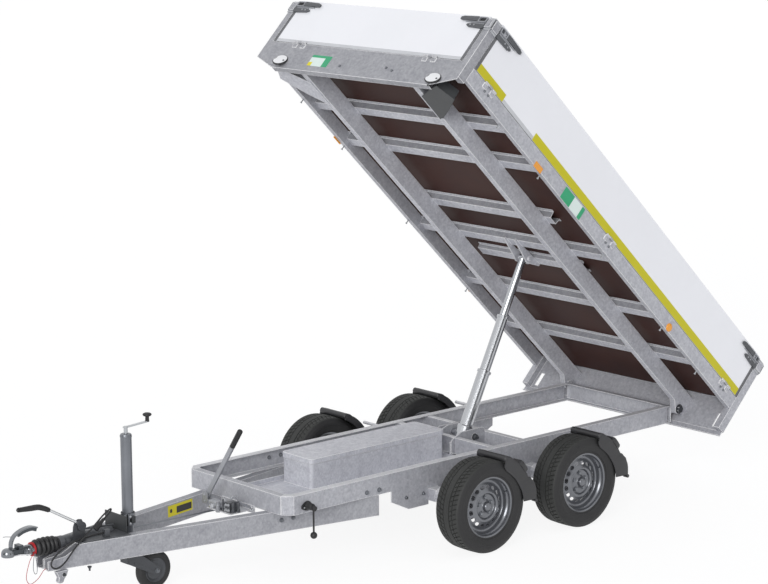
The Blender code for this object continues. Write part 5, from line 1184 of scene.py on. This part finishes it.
def jockeyFork():  # two cheeks under a round head, with stiffening ribs and the axle
    high, cheek, trail, axle = jockey["forkTop"], jockey["cheek"], jockey["trail"], jockey["wheel"]
    parts = [bar((0, 0, high - 0.048), (0, 0, high), 0.031, 28, 0.003)]
    arcs = [(trail + 0.024 * math.cos(math.radians(a)), axle + 0.024 * math.sin(math.radians(a)))
            for a in range(-120, 61, 15)]
    outline = arcs + [(0.060, high - 0.014), (0.020, high - 0.006), (-0.026, high - 0.006),
                      (-0.032, high - 0.022), (-0.028, high - 0.046)]
    rib = ((0.012, high - 0.040), (0.100, 0.132), (0.128, 0.112), (0.120, 0.102), (0.092, 0.120),
           (0.006, high - 0.052))
    for side in (1, -1):
        turn = sideways(side * cheek, 0, 0, side)
        parts += [sheetOf(outline, 0.004, turn),
                  sheetOf(rib, 0.0022, turn @ Matrix.Translation((0, 0, 0.004)))]
    parts.append(slab((-cheek, -0.028, high - 0.018), (cheek, 0.060, high - 0.012)))
    parts.append(slab((-cheek, -0.032, high - 0.046), (cheek, -0.027, high - 0.014)))
    pins = [bolt((side * 0.0375, trail, axle), (side, 0, 0), 0.019, True, 0.004) for side in (1, -1)]
    pins.append(bar((-0.037, trail, axle), (0.037, trail, axle), 0.0075, 16))
    whole = joined(*[painted(part, 0) for part in parts], *[painted(part, 1) for part in pins])
    return moved(whole, Matrix.Translation(onChassis(0, jockey["y"], 0)))


def jockeyWheel():  # a solid rubber tread on a pressed disc
    r, half, edge = jockey["wheel"], jockey["wheelHalf"], 0.020
    rubber = [(0.066, -half + 0.004), (0.072, -half + 0.0005)]
    for side, span in ((-1, range(-80, 1, 16)), (1, range(0, 81, 16))):
        rubber += [(r - edge + edge * math.cos(math.radians(a)),
                    side * (half - edge) + edge * math.sin(math.radians(a))) for a in span]
    rubber += [(0.072, half - 0.0005), (0.066, half - 0.004), (0.064, half - 0.009), (0.064, -half + 0.009),
               (0.066, -half + 0.004)]
    disc = [(0.0084, -half + 0.003), (0.020, -half + 0.003), (0.024, -half + 0.010),
            (0.050, -half + 0.012), (0.058, -half + 0.006), (0.064, -half + 0.003),
            (0.0665, -half + 0.004), (0.0655, -half + 0.010)]
    disc = disc + [(radius, -x) for radius, x in reversed(disc)] + [disc[0]]
    place = onChassis(0, jockey["y"] + jockey["trail"], r)
    return joined(painted(spun(rubber, place, (1, 0, 0), 48), 0),
                  painted(spun(disc, place, (1, 0, 0), 40), 1))


piece = addPiece("jockeyTube", jockeyTube(), [tubeGrey, brightZinc, softBlack], "chassis", 40)
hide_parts("jockey_tube")
addPiece("clampFlanges", clampFlanges(), [tubeGrey, signBlack, boltPale], "chassis", 40,
         0.0006)
piece = addPiece("jockeyFork", jockeyFork(), [forkGrey, boltSteel], "jockey_fork", 40, 0.0008)
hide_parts("jockey_fork")
piece = addPiece("jockeyWheel", jockeyWheel(), [tyreRubber, forkGrey], "jockey_wheel", 40)
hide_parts("jockey_wheel")
print("made the jockey")

# hand pump on the front cross member, crank on the near side member
pump = {"y": -1.302, "z": 0.378, "face": -1.1863, "foot": (-0.090, 0.415), "tip": (0.200, 0.820),
        "grip": 0.125}


def handPump():  # its plate on the cross member, the barrel with its valve block, the lever with its grip
    y, z, face = pump["y"], pump["z"], pump["face"]
    foot, tip = (Vector((x, y, high)) for x, high in (pump["foot"], pump["tip"]))
    way = (tip - foot).normalized()
    outline = ((-0.120, 0.3355), (0.170, 0.3355), (0.170, 0.371), (0.163, 0.378), (-0.113, 0.378),
               (-0.120, 0.371))
    plate = sheetOf(outline, 0.0048, frontways(0, face + axleY, 0))
    ledge = slab(onChassis(-0.060, y - 0.032, z - 0.0300), onChassis(0.140, face - 0.004, z - 0.0245))
    barrel = spun(((0, 0), (0.019, 0), (0.019, 0.010), (0.0235, 0.012), (0.0235, 0.050), (0.0215, 0.052),
                   (0.0215, 0.120), (0.0240, 0.122), (0.0240, 0.165), (0, 0.165)), onChassis(-0.055, y, z),
                  (1, 0, 0), 28)
    rod = bar(onChassis(-0.112, y, z), onChassis(-0.052, y, z), 0.0100, 18, 0.001)
    clevis = [slab(onChassis(-0.124, y + side * 0.012 - 0.0025, z - 0.016),
                   onChassis(-0.078, y + side * 0.012 + 0.0025, z + 0.046)) for side in (1, -1)]
    pins = [bar(onChassis(-0.104, y - 0.019, high), onChassis(-0.104, y + 0.019, high), 0.0052, 14, 0.0008)
            for high in (z - 0.002, z + 0.032)]
    valve = joined(slab(onChassis(0.085, y - 0.024, z - 0.022), onChassis(0.128, y + 0.030, z + 0.032)),
                   *[spun(((0, 0), (size, 0), (size, 0.016), (size * 0.8, 0.018), (size * 0.8, 0.030),
                           (size, 0.032), (size, 0.048), (size * 0.6, 0.052), (size * 0.6, 0.062),
                           (0, 0.062)), onChassis(x, y + back, z - 0.018), (0, 0, 1), 20)
                     for x, back, size in ((0.142, -0.012, 0.0100), (0.157, 0.012, 0.0092),
                                           (0.070, -0.024, 0.0078))])
    down = spun(((0, 0), (0.0130, 0), (0.0150, 0.003), (0.0150, 0.040), (0.0115, 0.043), (0.0115, 0.060),
                 (0, 0.060)), onChassis(0.034, y - 0.030, z - 0.034), (0, 0, 1), 24)
    cap = spun(((0, 0), (0.0165, 0), (0.0165, 0.012), (0.0130, 0.016), (0.0130, 0.022), (0.0080, 0.026),
                (0, 0.026)), onChassis(-0.018, y - 0.018, z - 0.012), (-0.35, -1, -0.1), 6)
    knobs = [bolt(onChassis(x, y - 0.024, z + up), (0, -1, 0), size, True, 0.004) for x, up, size in
             ((0.096, -0.010, 0.013), (0.118, -0.010, 0.013), (0.096, 0.018, 0.011), (0.118, 0.020, 0.012))]
    knobs += [bolt(onChassis(x, face - 0.0048, high), (0, -1, 0), 0.015)
              for x, high in ((-0.095, 0.356), (0.158, 0.356), (0.020, 0.364), (0.060, 0.364))]
    bends = ((0.110, y, z + 0.044), (0.111, y + 0.002, z + 0.056), (0.120, y + 0.022, z + 0.060),
             (0.134, y + 0.048, z + 0.020), (0.140, face - 0.012, z - 0.014),
             (0.142, face + 0.002, z - 0.016))
    pipe = tube(smoothLine([onChassis(*point) for point in bends], 0.008), 0.0055, 12)
    lean = across(onChassis(*tip) - onChassis(*foot))
    barLong = (tip - foot).length - pump["grip"] + 0.004
    lever = moved(slab((-0.0062, -0.0138, -0.014), (0.0062, 0.0138, barLong)),
                  Matrix.Translation(onChassis(*foot)) @ lean)
    grip = spun(((0, 0), (0.0140, 0), (0.0152, 0.002), (0.0152, pump["grip"] - 0.006),
                 (0.0135, pump["grip"] - 0.001), (0.008, pump["grip"] + 0.002), (0, pump["grip"] + 0.002)),
                onChassis(*(tip - way * pump["grip"])), way, 24)
    return joined(*[painted(part, 0) for part in (plate, ledge)],
                  *[painted(part, 1) for part in (barrel, *clevis, down, lever, pipe)], painted(valve, 2),
                  *[painted(part, 3) for part in (rod, *pins, cap, *knobs)], painted(grip, 4))


piece = addPiece("handPump", handPump(), [steel, castPale, castIron, boltPale, softBlack], "chassis",
                 40, 0.0008)
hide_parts("hand_pump")
crank = {"face": 0.4378, "y": -1.046, "z": 0.409, "stemX": 0.4915, "ball": 0.019}


def sideCrank():  # a black knob on its boss, a stem hanging from it with a ball
    face, y, z = crank["face"], crank["y"], crank["z"]
    boss = spun(((0, 0), (0.0262, 0), (0.0262, 0.009), (0.0235, 0.014), (0.0190, 0.030), (0.0180, 0.048),
                 (0.0150, 0.0515), (0, 0.0515)), onChassis(face, y, z), (1, 0, 0), 28)
    ear = sheetOf(((-0.040, -0.010), (-0.034, -0.016), (-0.020, -0.022), (0.0, -0.024), (0.0, 0.024),
                   (-0.016, 0.022), (-0.034, 0.010), (-0.040, 0.004)), 0.012,
                  sideways(*onChassis(face, y, z)))
    arm = bar(onChassis(face + 0.036, y, z - 0.001), onChassis(face + 0.0695, y, z - 0.006), 0.0152, 24,
              0.003)
    stem = bar(onChassis(crank["stemX"], y, z - 0.006), onChassis(crank["stemX"], y, z - 0.141), 0.0052, 16)
    radius = crank["ball"]
    ball = spun([(radius * math.sin(math.pi * k / 16), radius - radius * math.cos(math.pi * k / 16))
                 for k in range(17)], onChassis(crank["stemX"], y, z - 0.154 - radius), (0, 0, 1), 28)
    screw = bolt(onChassis(face + 0.012, y - 0.030, z - 0.004), (1, 0, 0), 0.009, False)
    return joined(*[painted(part, 0) for part in (boss, ear, arm, stem, ball)], painted(screw, 1))


piece = addPiece("sideCrank", sideCrank(), [softBlack, boltPale], "chassis", 40)
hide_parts("side_crank")
print("made the pump and the crank")

# ears beside the cylinder's foot with the trunnion's bolt heads
earShape = ((0.335, 0.452), (0.345, 0.464), (0.420, 0.4975), (0.585, 0.4985), (0.600, 0.492),
            (0.632, 0.3790), (0.632, 0.3760), (0.350, 0.3760), (0.335, 0.392))
ears = []
for side in (1, -1):
    ears.append(painted(sheetOf(earShape, 0.005, sideways(side * 0.0955 - 0.0025, axleY, 0)), 0))
    ears.append(painted(bolt(onChassis(side * 0.0982, 0.522, 0.450), (side, 0, 0), 0.030, True, 0.012), 1))
    ears.append(painted(bolt(onChassis(side * 0.0982, 0.395, 0.458), (side, 0, 0), 0.012), 1))
addPiece("trunnionEars", joined(*ears), [steelArmShaded, darkSteel], "chassis", 35, 0.0008)

# rear skirt of the bed, and the bolts of its hinge
skirt = joined(slab((-0.83, 0.0555, -0.0890), (0.83, 0.0595, -0.0562)),
               slab((-0.83, 0.0475, -0.0890), (0.83, 0.0595, -0.0850)))
addPiece("rearSkirt", moved(skirt, bedMatrix), steelBed, "bed", 35, 0.0006)
hingeBolts = []
for side in (1, -1):
    place = Vector((side * 0.4857, bed["pivot"][1], bed["pivot"][2]))
    hingeBolts.append(spun(((0, 0), (0.0300, 0), (0.0300, 0.0022), (0, 0.0022)), place, (side, 0, 0), 28))
    hingeBolts.append(spun(((0, 0), (0.0226, 0), (0.0226, 0.0140), (0.0205, 0.0160), (0, 0.0160)), place,
                           (side, 0, 0), 6))
addPiece("hingeBolts", joined(*hingeBolts), darkSteel, "bed", 35, 0.0006)

# bolts on the side members and the cross member
member = {"face": 0.4375}
chassisBolts = []
for side in (1, -1):
    for y, z in ((-0.620, 0.398), (-0.530, 0.398)):
        chassisBolts.append(bolt(onChassis(side * member["face"], y, z), (side, 0, 0), 0.019, True, 0.006))
    for y in (-0.33, -0.20, 0.35, 0.62, 1.02):
        chassisBolts.append(bolt(onChassis(side * member["face"], y, 0.315), (side, 0, 0), 0.015))
for y in (-0.595, -0.510):
    chassisBolts.append(bolt(onChassis(-0.4325, y, 0.425), (1, 0, 0), 0.017, True, 0.003))
addPiece("chassisBolts", joined(*chassisBolts), boltSteel, "chassis", 35)

# bolts on the drawbar's arms, whose outer faces run from the nose to the side members
arm = {"noseX": 0.052, "noseY": -2.45, "rootX": 0.4375, "rootY": -0.53, "signY": -1.510}
armWay = Vector((arm["rootX"] - arm["noseX"], arm["rootY"] - arm["noseY"], 0)).normalized()


def armX(y):
    return arm["noseX"] + (arm["rootX"] - arm["noseX"]) * (y - arm["noseY"]) / (arm["rootY"] - arm["noseY"])


armBolts = []
for side in (1, -1):
    way = Vector((armWay.x * side, armWay.y, 0))
    out = Vector((way.y * side, -way.x * side, 0))
    for y, z in ((-1.125, 0.318), (-1.055, 0.322)):
        armBolts.append(bolt(onChassis(side * armX(y), y, z), out, 0.019, True, 0.006))
addPiece("armBolts", joined(*armBolts), boltSteel, "chassis", 35)

# blank yellow sign on the inner face of the far arm
signWay = Vector((-armWay.x, armWay.y, 0))
signOut = Vector((armWay.y, armWay.x, 0))
start = onChassis(-armX(arm["signY"]), arm["signY"], 0.298) + signOut * 0.0502
armSign = Matrix(((signWay.x, 0, signOut.x, start.x), (signWay.y, 0, signOut.y, start.y),
                  (0, 1, 0, start.z), (0, 0, 0, 1)))
signOn("armSign", armSign, ((field(0, 0, 0.200, 0.062), 2, 0),
                            (field(0.070, 0.010, 0.192, 0.047), 3, 0.0006),
                            (((0.016, 0.024), (0.024, 0.019), (0.033, 0.024), (0.033, 0.038),
                              (0.024, 0.044), (0.016, 0.038)), 3, 0.0006)), "chassis")
print("made the small parts of the chassis")

# floor, sky, sun and reflected cards
stage = {"floorHalf": 60, "floorGrey": (0.93, 0.93, 0.93, 1), "glow": 1.07, "glowShare": 0.82,
         "sky": (0.955, 0.965, 1.0, 1), "skyStrength": 0.62, "sunStrength": 1.50,
         "sunWay": (-0.5, 0.8, -0.33), "sunAngle": 28.0, "sunColour": (1.0, 0.995, 0.985),
         "cardGrey": (0.05, 0.05, 0.055, 1), "cardTall": 7.0, "cardsFace": (0, 1.0, 2.5),
         "cards": (((13.5, 1.0, 2.5), 3.6), ((-2.0, -12.0, 2.5), 4.2), ((6.5, 10.5, 2.5), 3.0))}


def flatSquare(name, half, look):
    shape = bmesh.new()
    bmesh.ops.create_grid(shape, x_segments=1, y_segments=1, size=half)
    mesh = bpy.data.meshes.new(name)
    shape.to_mesh(mesh)
    shape.free()
    mesh.materials.append(look.material)
    return placed(name, mesh)


# the floor shows white to the camera and in reflections, and keeps the trailer's shadow
floorLook = Finish("paleFloor", Base_Color=stage["floorGrey"], Roughness=0.9, Specular_IOR_Level=0.0)
rays = floorLook.tree.nodes.new("ShaderNodeLightPath")
seen = Wire(floorLook, rays.outputs["Is Camera Ray"]) + Wire(floorLook, rays.outputs["Is Glossy Ray"])
glow = floorLook.add("ShaderNodeEmission", {}, {"Color": (1, 1, 1, 1), "Strength": stage["glow"]})
lit = Wire(floorLook, floorLook.shader.outputs[0])
mixed = floorLook.add("ShaderNodeMixShader", {},
                      {0: (seen * stage["glowShare"]).clamp(0, stage["glowShare"]), 1: lit, 2: glow})
floorLook.tree.links.new(mixed.socket, floorLook.tree.nodes["Material Output"].inputs["Surface"])
flatSquare("studioFloor", stage["floorHalf"], floorLook)

world = bpy.data.worlds.new("studio")
bpy.context.scene.world = world
world.use_nodes = True
air = world.node_tree
paths = air.nodes.new("ShaderNodeLightPath")
backdrop, soft = air.nodes["Background"], air.nodes.new("ShaderNodeBackground")
backdrop.inputs["Color"].default_value, backdrop.inputs["Strength"].default_value = (1, 1, 1, 1), 1.0
soft.inputs["Color"].default_value = stage["sky"]
soft.inputs["Strength"].default_value = stage["skyStrength"]
pick = air.nodes.new("ShaderNodeMixShader")
either, anyOf = (air.nodes.new("ShaderNodeMath") for _ in range(2))
either.operation = anyOf.operation = "MAXIMUM"
air.links.new(paths.outputs["Is Camera Ray"], either.inputs[0])
air.links.new(paths.outputs["Is Transmission Ray"], either.inputs[1])
air.links.new(either.outputs[0], anyOf.inputs[0])
air.links.new(paths.outputs["Is Glossy Ray"], anyOf.inputs[1])
air.links.new(anyOf.outputs[0], pick.inputs[0])
air.links.new(soft.outputs[0], pick.inputs[1])
air.links.new(backdrop.outputs[0], pick.inputs[2])
air.links.new(pick.outputs[0], air.nodes["World Output"].inputs["Surface"])

sun = bpy.data.lights.new("frontSun", "SUN")
sun.energy, sun.color, sun.angle = stage["sunStrength"], stage["sunColour"], math.radians(stage["sunAngle"])
placed("frontSun", sun).matrix_world = Matrix.Translation((0, 0, 5)) @ across(-Vector(stage["sunWay"]))

# dark cards that only reflections see, so that round metal gets its dark bands
cardLook = Finish("studioCard", Base_Color=stage["cardGrey"], Roughness=0.9)
for place, wide in stage["cards"]:
    card = flatSquare("studioCard", 0.5, cardLook)
    facing = across(Vector(place) - Vector(stage["cardsFace"]))
    stretch = Matrix.Diagonal((wide, stage["cardTall"], 1, 1))
    card.matrix_world = Matrix.Translation(place) @ facing @ stretch
    card.visible_camera = card.visible_diffuse = card.visible_shadow = False
print("made the stage")
